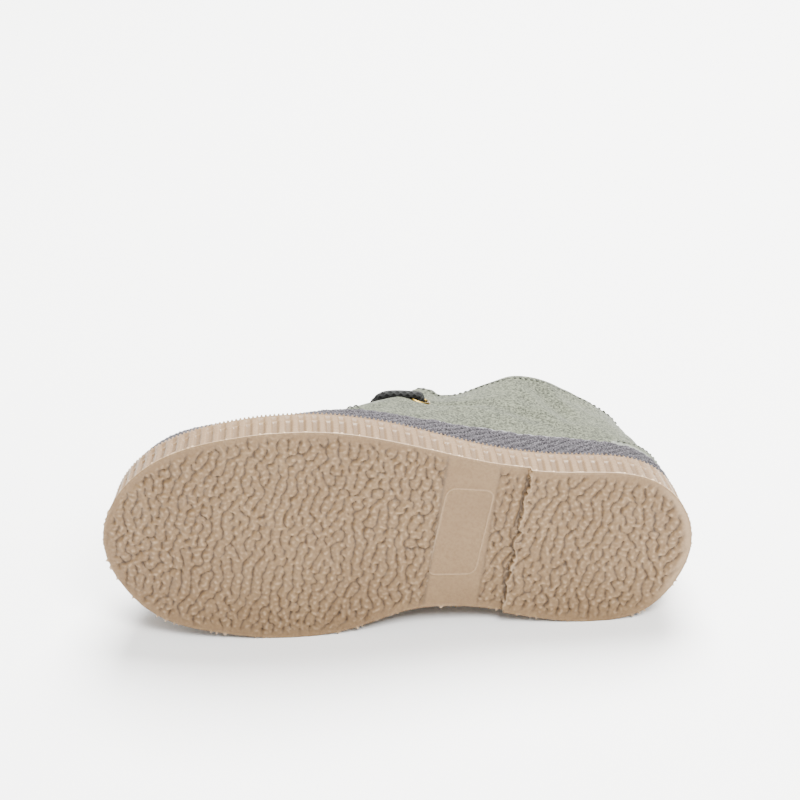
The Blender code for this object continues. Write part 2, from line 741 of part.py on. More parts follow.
def build_lace(frames, finish):
    """Cord lace: a run along each quarter between its eyelets, and a bar across the throat under them."""
    ends = [frames[side, "low"][0] - frames[side, "low"][1] * 3.0 * LACE_TURN for side in (1, -1)]
    middle = 0.5 * (ends[0] + ends[1]) + np.array((0.0, 0.0, LACE_BAR_RISE))
    route = [*lace_half(frames, 1, middle), middle, *lace_half(frames, -1, middle)[::-1]]
    points, faces = tube(smooth_rows(route, 2 * len(route) - 1), LACE_DIAMETER / 2, LACE_SIDES)
    return add_piece("lace", points, faces, finish)


def lying_pose(pieces):
    """Matrix that lays the boot on its inner side, in the pose where its weight sinks lowest."""
    points = np.concatenate([[v.co[:] for v in piece.data.vertices] for piece in pieces]) / MM
    below = points - np.array(BALANCE_POINT)

    def floor_direction(lean, turn):
        way = np.array((turn, -1.0, lean))
        return way / np.linalg.norm(way)

    best, span = (0.0, 0.0), 0.2
    for _ in range(40):
        tries = [(best[0] + i * span, best[1] + j * span) for i in (-1, 0, 1) for j in (-1, 0, 1)]
        found = min(tries, key=lambda tilt: (below @ floor_direction(*tilt)).max())
        if found == best:
            span *= 0.6
        best = found
    up = -floor_direction(*best)
    heel_way = np.array((-1.0, 0.0, 0.0))
    heel_way -= up * heel_way.dot(up)
    heel_way /= np.linalg.norm(heel_way)
    turn = np.array((heel_way, np.cross(up, heel_way), up))
    placed = points @ turn.T * MM
    low, high = placed.min(0), placed.max(0)
    matrix = Matrix([[float(c) for c in row] for row in turn]).to_4x4()
    matrix.translation = (-(low[0] + high[0]) / 2, -(low[1] + high[1]) / 2, -low[2])
    return matrix


def clear_scene():
    for obj in list(bpy.data.objects):
        bpy.data.objects.remove(obj)


def main():
    clear_scene()
    suede = material("sage_suede", (0.36, 0.37, 0.32), 0.95)
    rubber = material("tan_rubber", (0.46, 0.35, 0.26), 0.6)
    twill = material("grey_twill", (0.2, 0.19, 0.2), 0.95)
    lining = material("tan_lining", (0.5, 0.42, 0.32), 0.9)
    cord = material("charcoal_cord", (0.06, 0.06, 0.06), 0.9)
    brass = material("brass", (0.6, 0.45, 0.22), 0.35, 1.0)
    frames = {}
    for height, spot in (("top", EYELET_TOP), ("low", EYELET_LOW)):
        for side in (1, -1):
            frames[side, height] = surface_frame(side, **spot)
    holes = build_eyelet_holes(frames, suede)
    pieces = [
        build_outsole(rubber),
        build_insole(lining),
        build_upper(suede, holes),
        build_rand(twill),
        build_counter(suede),
        build_tongue(suede),
        build_lace(frames, cord),
    ]
    for (side, height), (centre, normal) in frames.items():
        name = f"eyelet_{height}_{'outer' if side > 0 else 'inner'}"
        pieces.append(build_eyelet(name, centre, normal, brass))
    boot = bpy.data.objects.new("boot", None)
    bpy.context.scene.collection.objects.link(boot)
    boot.matrix_world = lying_pose(pieces)
    for piece in bpy.data.objects:
        if piece.type == "MESH":
            piece.parent = boot


main()
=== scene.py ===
import json
import math

import bmesh
import bpy
import numpy as np
from mathutils import Matrix
from mathutils.geometry import delaunay_2d_cdt
from mathutils.kdtree import KDTree


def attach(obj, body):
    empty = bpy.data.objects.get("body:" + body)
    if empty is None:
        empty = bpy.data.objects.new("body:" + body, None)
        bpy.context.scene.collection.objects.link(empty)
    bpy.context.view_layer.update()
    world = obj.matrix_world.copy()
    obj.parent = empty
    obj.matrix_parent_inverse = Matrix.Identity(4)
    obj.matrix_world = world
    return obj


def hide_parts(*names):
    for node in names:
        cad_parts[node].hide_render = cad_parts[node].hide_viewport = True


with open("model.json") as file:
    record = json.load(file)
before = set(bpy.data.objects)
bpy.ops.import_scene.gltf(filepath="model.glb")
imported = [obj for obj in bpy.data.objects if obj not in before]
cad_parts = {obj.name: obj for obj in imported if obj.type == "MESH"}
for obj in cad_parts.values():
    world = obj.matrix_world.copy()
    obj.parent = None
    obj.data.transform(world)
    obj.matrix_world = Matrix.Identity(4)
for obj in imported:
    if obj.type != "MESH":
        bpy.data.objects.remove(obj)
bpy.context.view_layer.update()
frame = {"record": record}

# Where the boot lies
# The boot rests on its inner side. Its two tread mounts, at known points of the sole, give the way from
# the boot's own millimetres (x heel to toe, y to the outer side, z up from the tread) to the scene.
TREAD_HEEL = np.array((28.0, -1.0))
TREAD_FOREFOOT = np.array((110.0, 3.0))

mounts = {mount["name"]: mount for mount in frame["record"]["mounts"]}
heel_spot = np.array(mounts["tread_heel"]["pos_m"])
tread_up = -np.array(mounts["tread_heel"]["axis"])
tread_up /= np.linalg.norm(tread_up)
toward_toe = np.array(mounts["tread_forefoot"]["pos_m"]) - heel_spot
toward_toe -= tread_up * toward_toe.dot(tread_up)
toward_toe /= np.linalg.norm(toward_toe)
turn = math.atan2(*(TREAD_FOREFOOT - TREAD_HEEL)[::-1])
boot_x = toward_toe * math.cos(turn) - np.cross(tread_up, toward_toe) * math.sin(turn)
boot_axes = np.array((boot_x, np.cross(tread_up, boot_x), tread_up))
boot_origin = heel_spot - np.append(TREAD_HEEL, 0.0) * 0.001 @ boot_axes


def to_scene(points_mm):
    """Points of the boot in millimetres as points of the scene in metres, none of them under the floor."""
    placed = np.asarray(points_mm, float) * 0.001 @ boot_axes + boot_origin
    placed[..., 2] = np.maximum(placed[..., 2], 0.0)
    return placed


# Cup sole
# One moulding of tan natural rubber: a crepe tread with a bare shank panel, a ribbed wall, and a rim with
# a fine toothed edge. The upper is glued into its cup. A thin pale flash is left round the tread's edge.
SOLE_LENGTH = 188.5
BALL_WIDTH = 73.5
RIM_HEIGHT = 18.0
CUP_FLOOR = 10.0
CUP_CLEARANCE = 0.5
GAP = 0.3
TOE_SPRING = 6.0
SPRING_START = 0.72 * SOLE_LENGTH
SPRING_SHARES = (0.0, 0.35, 0.65, 1.1)
ARCH_RISE = 2.0
ARCH_END = 0.52 * SOLE_LENGTH
BREAST_PLACE = 0.298 * SOLE_LENGTH
JOINT_SLANT = 0.164
OUTLINE = (
    # name             along   across  draft
    ("heel_back",      0.000,  0.020,  2.0),
    ("heel_back_lat",  0.017,  0.207,  2.2),
    ("heel_lat",       0.058,  0.313,  2.2),
    ("heel_front_lat", 0.212,  0.366,  1.4),
    ("waist_lat",      0.361,  0.416,  1.2),
    ("shoulder_lat",   0.488,  0.503,  1.2),
    ("ball_lat",       0.621,  0.556,  1.2),
    ("fore_lat",       0.775,  0.520,  1.2),
    ("toe_corner_lat", 0.897,  0.404,  1.6),
    ("toe_side_lat",   0.966,  0.239,  1.2),
    ("toe_tip",        1.000, -0.010,  2.0),
    ("toe_side_med",   0.973, -0.205,  2.0),
    ("toe_corner_med", 0.907, -0.360,  1.6),
    ("fore_med",       0.806, -0.425,  1.2),
    ("ball_med",       0.695, -0.447,  1.4),
    ("ball_rear_med",  0.573, -0.397,  1.2),
    ("waist_fore_med", 0.477, -0.310,  1.0),
    ("waist_med",      0.393, -0.296,  1.0),
    ("heel_front_med", 0.265, -0.343,  1.4),
    ("heel_med",       0.159, -0.363,  1.6),
    ("heel_side_med",  0.074, -0.302,  1.8),
    ("heel_back_med",  0.024, -0.161,  2.0),
)


def joint_place(point, slant=JOINT_SLANT):
    """Distance from the heel measured square to the slanted ball line."""
    return point[..., 0] + slant * point[..., 1]


def spring_height(place):
    """Rise of the sole's toe above the ground."""
    share = (place - SPRING_START) / (SOLE_LENGTH - SPRING_START)
    return TOE_SPRING * np.interp(share, SPRING_SHARES, np.power(SPRING_SHARES, 1.7))


def arch_height(place):
    """Rise of the waist under the arch, highest at the heel breast."""
    return ARCH_RISE * np.clip((ARCH_END - place) / (ARCH_END - BREAST_PLACE), 0.0, 1.0)


def smoothstep(low, high, value):
    """0 up to low, 1 from high on and a smooth climb between them."""
    share = np.clip((value - low) / (high - low), 0.0, 1.0)
    return share * share * (3.0 - 2.0 * share)


def bell(away, width):
    """1 at no distance, falling off evenly to both sides over about a width."""
    return np.exp(-(away / width) ** 2)


def closed_spline(knots, values):
    """A smooth closed curve through rows of values at knots from 0 up to 1, as a function of the place."""
    knots = np.asarray(knots, float)
    values = np.asarray(values, float)
    count = len(knots)
    step = np.diff(np.append(knots, 1.0 + knots[0]))
    slope = (np.roll(values, -1, 0) - values) / step[:, None]
    system = np.zeros((count, count))
    for i in range(count):
        system[i, i - 1] += step[i - 1]
        system[i, i] += 2.0 * (step[i - 1] + step[i])
        system[i, (i + 1) % count] += step[i]
    bend = np.linalg.solve(system, 6.0 * (slope - np.roll(slope, 1, 0)))

    def value(place):
        place = (np.asarray(place, float) - knots[0]) % 1.0 + knots[0]
        i = np.clip(np.searchsorted(knots, place, side="right") - 1, 0, count - 1)
        after = (i + 1) % count
        h = step[i][..., None]
        b = (place - knots[i])[..., None] / h
        a = 1.0 - b
        curve = ((a ** 3 - a) * bend[i] + (b ** 3 - b) * bend[after]) * h * h / 6.0
        return a * values[i] + b * values[after] + curve

    return value


outline_points = np.array([(along * SOLE_LENGTH, across * BALL_WIDTH) for _, along, across, _ in OUTLINE])
outline_runs = np.linalg.norm(np.roll(outline_points, -1, 0) - outline_points, axis=1)
outline_knots = np.append(0.0, np.cumsum(outline_runs)[:-1]) / outline_runs.sum()
OUTLINE_PLACE = dict(zip([row[0] for row in OUTLINE], outline_knots))
outline_curve = closed_spline(outline_knots, outline_points)
draft_curve = closed_spline(outline_knots, [[row[3]] for row in OUTLINE])


def outline_inset(place, inset):
    """Points of the outline moved in by inset, which may differ from place to place."""
    step = 1e-4
    tangent = outline_curve(place + step) - outline_curve(place - step)
    tangent /= np.linalg.norm(tangent, axis=-1, keepdims=True)
    inward = np.stack([tangent[..., 1], -tangent[..., 0]], -1)
    return outline_curve(place) + inward * np.asarray(inset)[..., None]


def even_places(count):
    """Places along the outline at even lengths."""
    dense = np.linspace(0.0, 1.0, 4001)
    runs = np.linalg.norm(np.diff(outline_curve(dense), axis=0), axis=1)
    length = np.append(0.0, np.cumsum(runs))
    return np.interp(np.arange(count) / count * length[-1], length, dense)


# The upper's own form is needed here already, because the cup follows it
RIM_WIDTH = 3.4
INSTEP_HEIGHT = 63.0
COLLAR_HEIGHT = 81.0
HEEL_BACK_HEIGHT = 76.5
UPPER_PROFILES = (
    # outer station     inner station     along   out   edge_up                rise  lean  ahead   out   drop
    ("heel_back",      "heel_back",       0.094,  0.0, HEEL_BACK_HEIGHT,       26.0, -1.2,  -4.0,  0.0, 22.0),
    ("heel_lat",       "heel_side_med",   0.120, 10.4, HEEL_BACK_HEIGHT + 0.5, 26.0, -0.2,  -3.0,  3.0, 22.0),
    ("heel_front_lat", "heel_front_med",  0.205, 19.3, COLLAR_HEIGHT - 2.0,    26.0,  0.2,   0.0,  0.0, 22.0),
    ("waist_lat",      "waist_med",       0.300, 21.3, COLLAR_HEIGHT,          26.0,  1.0,   2.0,  0.0, 20.0),
    ("shoulder_lat",   "waist_fore_med",  0.405, 15.2, COLLAR_HEIGHT - 5.0,    26.0,  2.4,   4.0,  3.6, 14.0),
    ("ball_lat",       "ball_rear_med",   0.456, 18.6, INSTEP_HEIGHT + 10.6,   22.0,  3.4,   5.0,  1.6, 11.0),
    ("fore_lat",       "ball_med",        0.516,  7.2, INSTEP_HEIGHT + 2.0,    21.0,  4.0,  26.0,  8.2, 11.0),
    ("toe_corner_lat", "toe_corner_med",  0.553,  6.0, INSTEP_HEIGHT + 1.0,    27.0,  2.0,  48.0, 10.0, 10.0),
    ("toe_tip",        "toe_tip",         0.560,  0.0, INSTEP_HEIGHT,          34.0,  0.0,  58.0,  0.0,  9.0),
)


def axis_offset(along_mm):
    """How far the boot's middle line lies to the outer side."""
    return 3.5 * smoothstep(0.15 * SOLE_LENGTH, 0.55 * SOLE_LENGTH, along_mm)


profile_rows = []
for outer_station, inner_station, along, out, up, rise, lean, ahead, crown_out, drop in UPPER_PROFILES:
    x = along * SOLE_LENGTH
    for station, side in ((outer_station, 1.0), (inner_station, -1.0)):
        if side > 0.0 or inner_station != outer_station:
            numbers = (x, axis_offset(x) + side * out, up, rise, lean, ahead, side * crown_out, drop)
            profile_rows.append((OUTLINE_PLACE[station], numbers))
profile_rows.sort()
profile_curve = closed_spline(*zip(*profile_rows))


def upper_point(place, t):
    """Points of the upper's outer face: place goes round the boot and t from the sole, 0, to the edge, 1."""
    place, t = np.broadcast_arrays(np.asarray(place, float), np.asarray(t, float))
    x, y, z, rise, lean, ahead, out, drop = np.moveaxis(profile_curve(place), -1, 0)
    inset = draft_curve(place)[..., 0] + RIM_WIDTH
    foot = outline_inset(place, inset)
    lean_to = outline_inset(place, inset + lean)
    base = CUP_FLOOR + GAP + spring_height(joint_place(foot))
    p0 = np.concatenate([foot, base[..., None]], -1)
    p1 = np.concatenate([lean_to, (base + rise)[..., None]], -1)
    p2 = np.stack([x + ahead, y + out, z - drop], -1)
    p3 = np.stack([x, y, z], -1)
    t = t[..., None]
    s = 1.0 - t
    return s ** 3 * p0 + 3 * s * s * t * p1 + 3 * s * t * t * p2 + t ** 3 * p3


def upper_normal(place, t):
    """Outward unit normal of the upper's outer face."""
    step = 1e-3
    around = upper_point(place + step, t) - upper_point(place - step, t)
    up = upper_point(place, np.clip(t + step, 0.0, 1.0)) - upper_point(place, np.clip(t - step, 0.0, 1.0))
    normal = np.cross(up, around)
    return normal / np.linalg.norm(normal, axis=-1, keepdims=True)


def upper_offset(place, t, offset):
    """Points at a distance outside the upper's outer face."""
    return upper_point(place, t) + upper_normal(place, t) * np.asarray(offset)[..., None]


def upper_at_height(place, above_base):
    """The t at which each profile reaches a height above the ground line of the sole."""
    dense = np.linspace(0.0, 0.9, 91)
    heights = upper_point(place[:, None], dense)[..., 2]
    wanted = above_base + spring_height(joint_place(outline_curve(place)))
    return np.array([np.interp(want, column, dense) for want, column in zip(wanted, heights)])


def field_noise(seed, shape, step_mm, wave_mm, spread):
    """Noise of about one wave length on an even grid."""
    grain = np.random.default_rng(seed).standard_normal(shape)
    kx = np.fft.fftfreq(shape[0], step_mm)[:, None]
    ky = np.fft.fftfreq(shape[1], step_mm)[None, :]
    keep = bell(np.hypot(kx, ky) * wave_mm - 1.0, spread)
    grain = np.fft.ifft2(np.fft.fft2(grain) * keep).real
    return grain / grain.std()


def sample_field(field, step_mm, x, y):
    """Values of a grid, which repeats at its edges, between its points."""
    x = np.asarray(x, float) / step_mm
    y = np.asarray(y, float) / step_mm
    i, j = np.floor(x).astype(int), np.floor(y).astype(int)
    f, g = x - i, y - j
    rows, columns = field.shape
    i0, i1, j0, j1 = i % rows, (i + 1) % rows, j % columns, (j + 1) % columns
    low = field[i0, j0] * (1 - f) + field[i1, j0] * f
    high = field[i0, j1] * (1 - f) + field[i1, j1] * f
    return low * (1 - g) + high * g


def noise_at(x, y, seed, shape, step_mm, wave_mm, spread=0.6):
    """Noise of about one wave length at points in millimetres."""
    return sample_field(field_noise(seed, shape, step_mm, wave_mm, spread), step_mm, x, y)


def linear_colour(hex_code, alpha=1.0):
    """An sRGB hex colour as the linear values that the shaders take."""
    parts = [int(hex_code[i:i + 2], 16) / 255.0 for i in (1, 3, 5)]
    parts = [c / 12.92 if c <= 0.04045 else ((c + 0.055) / 1.055) ** 2.4 for c in parts]
    return (*parts, alpha)


def fill_inputs(tree, node, inputs):
    """Give a node its inputs; each is a constant or another node's output, by the socket's name or number."""
    for key, value in inputs.items():
        if isinstance(value, bpy.types.NodeSocket):
            tree.links.new(value, node.inputs[key])
        else:
            node.inputs[key].default_value = value


def add_node(tree, kind, inputs, **settings):
    """Add a node with its settings and inputs."""
    made = tree.nodes.new(kind)
    for name, value in settings.items():
        setattr(made, name, value)
    fill_inputs(tree, made, inputs)
    return made


def new_finish(name):
    """A new material, its node tree, its shader and the coordinates that its patterns lie in."""
    finish = bpy.data.materials.new(name)
    finish.use_nodes = True
    tree = finish.node_tree
    place = add_node(tree, "ShaderNodeTexCoord", {})
    return finish, tree, tree.nodes["Principled BSDF"], place.outputs["Object"]


def noise(tree, where, width_mm, **inputs):
    """Noise with patches of about a width."""
    inputs = {"Vector": where, "Scale": 1000.0 / width_mm, **inputs}
    return add_node(tree, "ShaderNodeTexNoise", inputs).outputs["Fac"]


def stretch(tree, value, low, high, to_low=0.0, to_high=1.0):
    """A value's range from low to high, stretched to another range."""
    inputs = {"Value": value, "From Min": low, "From Max": high, "To Min": to_low, "To Max": to_high}
    return add_node(tree, "ShaderNodeMapRange", inputs).outputs["Result"]


def blend(tree, share, colour, other):
    """Two colours mixed by a share; each is a hex code or another node's output."""
    pair = [linear_colour(c) if isinstance(c, str) else c for c in (colour, other)]
    return add_node(tree, "ShaderNodeMix", {0: share, 6: pair[0], 7: pair[1]}, data_type="RGBA").outputs[2]


def mark(tree, name):
    """A mark that a piece carries at its points."""
    return add_node(tree, "ShaderNodeAttribute", {}, attribute_name=name).outputs["Fac"]


def bump(tree, height, strength, depth_mm):
    """A bumped surface from a pattern of heights."""
    return add_node(tree, "ShaderNodeBump", {
        "Strength": strength, "Distance": 0.001 * depth_mm, "Height": height}).outputs["Normal"]


def add_piece(name, points_mm, faces, finishes, marks=None, finish_of_face=None):
    """One mesh object at the origin from points of the boot in millimetres, with marks at its points."""
    mesh = bpy.data.meshes.new(name)
    mesh.from_pydata(to_scene(points_mm).tolist(), [], [list(face) for face in faces])
    for finish in finishes:
        mesh.materials.append(finish)
    if finish_of_face is not None:
        mesh.polygons.foreach_set("material_index", np.asarray(finish_of_face, np.int32))
    for mark_name, values in (marks or {}).items():
        drawn = mesh.attributes.new(mark_name, "FLOAT", "POINT")
        drawn.data.foreach_set("value", np.asarray(values, np.float32))
    tidy = bmesh.new()
    tidy.from_mesh(mesh)
    bmesh.ops.delete(tidy, geom=[v for v in tidy.verts if not v.link_faces], context="VERTS")
    bmesh.ops.recalc_face_normals(tidy, faces=tidy.faces)
    tidy.to_mesh(mesh)
    tidy.free()
    mesh.shade_smooth()
    piece = bpy.data.objects.new(name, mesh)
    bpy.context.scene.collection.objects.link(piece)
    return piece


def ring_faces(low, high, count):
    """Faces between two closed loops of points that start at the numbers low and high."""
    k = np.arange(count)
    after = (k + 1) % count
    return np.stack([low + k, low + after, high + after, high + k], -1).tolist()


# Natural crepe rubber: soft and slightly see-through, with a dull skin; the thin flash lets light through and
# looks paler. Painted shade darkens its crevices and hollows, and painted highlights lighten knob tops and
# edges.
crepe_rubber, tree, shader, where = new_finish("natural_crepe_rubber")
grain = noise(tree, where, 0.9, Detail=4.0, Roughness=0.6)
cloud = noise(tree, where, 26.0, Detail=3.0, Roughness=0.55)
body = blend(tree, stretch(tree, cloud, 0.36, 0.64), "#6b5336", "#725a3c")
grained = blend(tree, stretch(tree, grain, 0.42, 0.62, 0.0, 0.35), body, "#58422d")
# Painted shade: the crevice mark darkens the rubber; the pale mark mixes in the flash, wear and painted
# highlights
crevice_shaded = blend(tree, mark(tree, "painted_crevice_shade"), grained, "#2c1e13")
fill_inputs(tree, shader, {
    "Base Color": blend(tree, mark(tree, "pale_rubber_and_highlight"), crevice_shaded, "#d2b795"),
    "Roughness": stretch(tree, grain, 0.3, 0.7, 0.38, 0.62),
    "Normal": bump(tree, grain, 0.55, 0.22),
    "IOR": 1.5,
    "Specular IOR Level": 0.35})

# Wall of the cup: ribs with a ledge in each hollow, up to the step under the rim's edge
RIB_COUNT = 104
RIB_SAMPLES = 14
RIB_SHARE = 0.45
RIB_DEPTH = 0.8
RIB_LEAN = 0.28
FLASH_HEIGHT = 0.35
LEDGE_HEIGHT = 11.6
WALL_ROWS = (
    # height  hollow
    (0.0,     0.00),
    (0.35,    0.00),
    (0.7,     0.10),
    (1.1,     0.85),
    (2.0,     1.00),
    (5.5,     1.00),
    (10.7,    0.95),
    (11.0,    0.95),
    (11.4,    0.50),
    (11.8,    0.45),
    (12.2,    0.75),
    (14.0,    0.60),
    (15.2,    0.30),
    (16.0,    0.00),
)
RIM_STEPS = (
    # further_in  below_rim
    (0.95,        1.9),
    (1.05,        0.2),
)

wall_places = even_places(RIB_COUNT * RIB_SAMPLES)
wall_count = len(wall_places)
in_rib = np.tile(np.arange(RIB_SAMPLES) / RIB_SAMPLES, RIB_COUNT)
wall_draft = draft_curve(wall_places)[:, 0]
wall_ground = outline_curve(wall_places)
wall_spring = spring_height(joint_place(wall_ground))
around_mm = np.arange(wall_count) * outline_runs.sum() / wall_count
flash_noise = noise_at(around_mm, 0.0, 5, (1024, 8), 0.5, 5.0)
flash_crumb = noise_at(around_mm, 0.0, 6, (2048, 8), 0.25, 1.6)
flash = 0.2 + 0.16 * smoothstep(0.4, 1.8, flash_noise) + 0.3 * smoothstep(0.5, 1.9, flash_crumb)
flash += 0.5 * smoothstep(0.9, 2.0, flash_crumb) * (wall_ground[:, 1] < 0.0)
front_of_breast = joint_place(wall_ground) > BREAST_PLACE
edge_rise = np.where(front_of_breast, arch_height(joint_place(wall_ground)), 0.0)
wall_points, wall_pale_and_highlight, wall_painted_shade = [], [], []
for height, depth in WALL_ROWS:
    share = height / RIM_HEIGHT
    leaned = (in_rib - RIB_LEAN * share ** 2) % 1.0
    hollow = smoothstep(RIB_SHARE - 0.1, RIB_SHARE + 0.15, leaned) * (1.0 - smoothstep(0.93, 1.0, leaned))
    inset = wall_draft * height / RIM_HEIGHT + RIB_DEPTH * depth * hollow
    lip = bell(height - FLASH_HEIGHT, 0.25)
    ledge = bell(height - LEDGE_HEIGHT, 0.4)
    lift = wall_spring + edge_rise * (1.0 - share) ** 2 + height
    wall_points.append(np.column_stack([outline_inset(wall_places, inset - flash * lip), lift]))
    # Painted light on the wall: rib faces a little paler, a painted highlight on the ledge, painted shade in
    # the hollows
    flush = 1.0 - depth * hollow
    lip_pale = lip * (0.3 + 0.7 * smoothstep(0.25, 0.5, flash))
    wall_pale_and_highlight.append(lip_pale + (1.0 - lip) * (0.02 * flush + 0.07 * ledge * hollow))
    wall_painted_shade.append(0.3 * depth * hollow * (1.0 - ledge))
rim_t = upper_at_height(wall_places, RIM_HEIGHT)
for further_in, below_rim in RIM_STEPS:
    rim_loop = outline_inset(wall_places, wall_draft + further_in)
    wall_points.append(np.column_stack([rim_loop, RIM_HEIGHT - below_rim + wall_spring]))
rim_inner = upper_offset(wall_places, rim_t, np.full(wall_count, CUP_CLEARANCE))
rim_inner[:, 2] = RIM_HEIGHT + wall_spring
cup_edge = upper_offset(wall_places, 0.0, np.full(wall_count, CUP_CLEARANCE))
cup_edge[:, 2] = CUP_FLOOR + wall_spring
wall_points += [rim_inner, cup_edge]
# The rim's inner steps and the cup behind the beads are marked fully dark as painted shade
plain_rows = len(wall_points) - len(wall_pale_and_highlight)
wall_pale_and_highlight += [np.zeros(wall_count)] * plain_rows
wall_painted_shade += [np.ones(wall_count)] * plain_rows

# Tread: an even lattice inside the wall's lowest loop, denser along the panel's raised outline and the breast
SOLE_ACROSS = (-36.0, 44.0)
LATTICE = 0.46
LINE_LATTICE = 0.22
LINE_BAND = 0.8
BREAST_LATTICE = (0.24, 0.3)
BREAST_BAND = 1.8
EDGE_BAND = 0.4
PANEL_SLANT = 0.146
PANEL_HEEL_SIDE = 65.0
PANEL_TOE_SIDE = 82.4
PANEL_DEPTH = 0.45
LUMP_WIDTH = 3.2
LUMP_HEIGHT = 0.95
KNOB_HEIGHT = 0.13
CREPE_WAY = math.radians(14.0)
CREPE_FAN = 1.0
BORDER_SINK = 0.12
LINE_WIDTH = 0.55
LINE_HEIGHT = 0.3
FRAME_CORNERS = ((77.9, 20.9), (62.9, 19.6), (69.0, -10.3), (84.3, -10.2))
FRAME_RADIUS = 3.2


def rounded_frame(corners, radius, steps):
    """Points along a four-cornered outline with rounded corners."""
    corners = np.array(corners)
    path = []
    for before, corner, after in zip(np.roll(corners, 1, 0), corners, np.roll(corners, -1, 0)):
        start = corner + (before - corner) / np.linalg.norm(before - corner) * radius
        end = corner + (after - corner) / np.linalg.norm(after - corner) * radius
        for f in np.linspace(0.0, 1.0, steps):
            path.append((1 - f) ** 2 * start + 2 * f * (1 - f) * corner + f * f * end)
    return np.array(path)


def distance_along(path, points):
    """Shortest distance of plan points to a closed path of points."""
    ends = np.roll(path, -1, 0)
    best = np.full(len(points), 1e9)
    for a, b in zip(path, ends):
        run = b - a
        share = np.clip((points - a) @ run / max(run @ run, 1e-12), 0.0, 1.0)
        best = np.minimum(best, np.linalg.norm(points - a - share[:, None] * run, axis=1))
    return best


def plan_grid(along, across, step_along, step_across):
    """Points of a plain grid over a stretch of the sole's plan."""
    return np.array([(x, y) for x in np.arange(*along, step_along) for y in np.arange(*across, step_across)])


def loop_sides(edge, along):
    """Outer and inner side, at places along the sole, of a closed plan loop that starts at the heel."""
    toe = int(np.argmax(edge[:, 0]))
    return np.interp(along, *edge[:toe + 1].T), np.interp(along, *edge[toe:][::-1].T)


def fill_loop(edge, within=()):
    """A filled plan loop: its points, the number of the given point each of them is, and its faces."""
    given = [tuple(p) for p in edge] + [tuple(p) for p in within]
    ring = [(k, (k + 1) % len(edge)) for k in range(len(edge))]
    points, _, faces, sources, *_ = delaunay_2d_cdt(given, ring, [], 1, 1e-6)
    return np.array([tuple(p) for p in points]), np.array([source[0] for source in sources]), faces


tread_edge = wall_points[0][:, :2]
edge_tree = KDTree(wall_count)
for k, (x, y) in enumerate(tread_edge):
    edge_tree.insert((x, y, 0.0), k)
edge_tree.balance()
lattice_y = np.arange(*SOLE_ACROSS, LATTICE * math.sqrt(0.75))
lattice_x = np.arange(-1.0, SOLE_LENGTH + 1.0, LATTICE)
lattice = np.array([(x + 0.5 * LATTICE * (r % 2), y) for r, y in enumerate(lattice_y) for x in lattice_x])
panel_frame = rounded_frame(FRAME_CORNERS, FRAME_RADIUS, 9)
line_box = plan_grid((61.0, 87.0), (-12.0, 23.0), LINE_LATTICE, LINE_LATTICE)
breast_box = plan_grid((46.0, 68.0), SOLE_ACROSS, *BREAST_LATTICE)
at_line, at_step = distance_along(panel_frame, lattice), np.abs(joint_place(lattice) - BREAST_PLACE)
lattice = np.concatenate([
    lattice[(at_line >= LINE_BAND) & (at_step >= BREAST_BAND)],
    line_box[distance_along(panel_frame, line_box) < LINE_BAND],
    breast_box[np.abs(joint_place(breast_box) - BREAST_PLACE) < BREAST_BAND]])
outer_y, inner_y = loop_sides(tread_edge, lattice[:, 0])
away = np.array([edge_tree.find((x, y, 0.0))[2] for x, y in lattice])
keep = (lattice[:, 1] < outer_y) & (lattice[:, 1] > inner_y) & (away > EDGE_BAND)
tread_plan, tread_source, tread_faces = fill_loop(tread_edge, lattice[keep])
tread_away = np.concatenate([np.zeros(wall_count), away[keep]])[tread_source]


def winding_wave(seed, shape, step_mm, wave_mm, way, fan):
    """A wave of about one length on an even grid, as complex numbers; its fronts wind about one direction."""
    grain = np.fft.fft2(np.random.default_rng(seed).standard_normal(shape))
    kx = np.fft.fftfreq(shape[0], step_mm)[:, None]
    ky = np.fft.fftfreq(shape[1], step_mm)[None, :]
    turn = np.angle((kx + 1j * ky) * np.exp(-1j * way))
    keep = np.exp(-((np.hypot(kx, ky) * wave_mm - 1.0) / 0.22) ** 2 - (turn / fan) ** 2)
    return np.fft.ifft2(grain * keep)


# Crepe: winding ridges set with small knobs, fading into a plain border
px, py = tread_plan[:, 0] + 5.0, tread_plan[:, 1] + 45.0
knob = noise_at(px, py, 28, (1024, 512), 0.2, 1.9, 0.4)
swell = noise_at(px, py, 29, (256, 128), 0.8, 9.0)
wobble = noise_at(px, py, 30, (512, 256), 0.4, 2.4)
lumps = sample_field(winding_wave(27, (512, 256), 0.4, LUMP_WIDTH, CREPE_WAY, CREPE_FAN), 0.4, px, py)
inside = 0.5 * LUMP_WIDTH * (1.0 - np.abs(np.angle(lumps)) / math.pi)
dome = np.clip((inside + 0.12 * wobble) / (0.5 * LUMP_WIDTH), 0.0, 1.0)
crepe = np.sqrt(1.0 - (1.0 - dome) ** 2)
sink = LUMP_HEIGHT * (1.0 - crepe) - KNOB_HEIGHT * np.clip(knob, -1.2, 1.2) * crepe + 0.1 * swell
border = smoothstep(0.6, 3.4, tread_away + 0.5 * swell)
sink = BORDER_SINK + (sink - BORDER_SINK) * border

# Shank panel: bare and a little sunk, with a plain raised outline
panel_place = joint_place(tread_plan, PANEL_SLANT)
on_panel = smoothstep(-0.3, 0.3, panel_place - PANEL_HEEL_SIDE)
on_panel = on_panel * smoothstep(-0.3, 0.3, PANEL_TOE_SIDE - panel_place)
line = bell(distance_along(panel_frame, tread_plan), 0.5 * LINE_WIDTH)
panel_sink = PANEL_DEPTH * smoothstep(0.0, 2.2, tread_away) - LINE_HEIGHT * line
sink = sink * (1.0 - on_panel) + panel_sink * on_panel

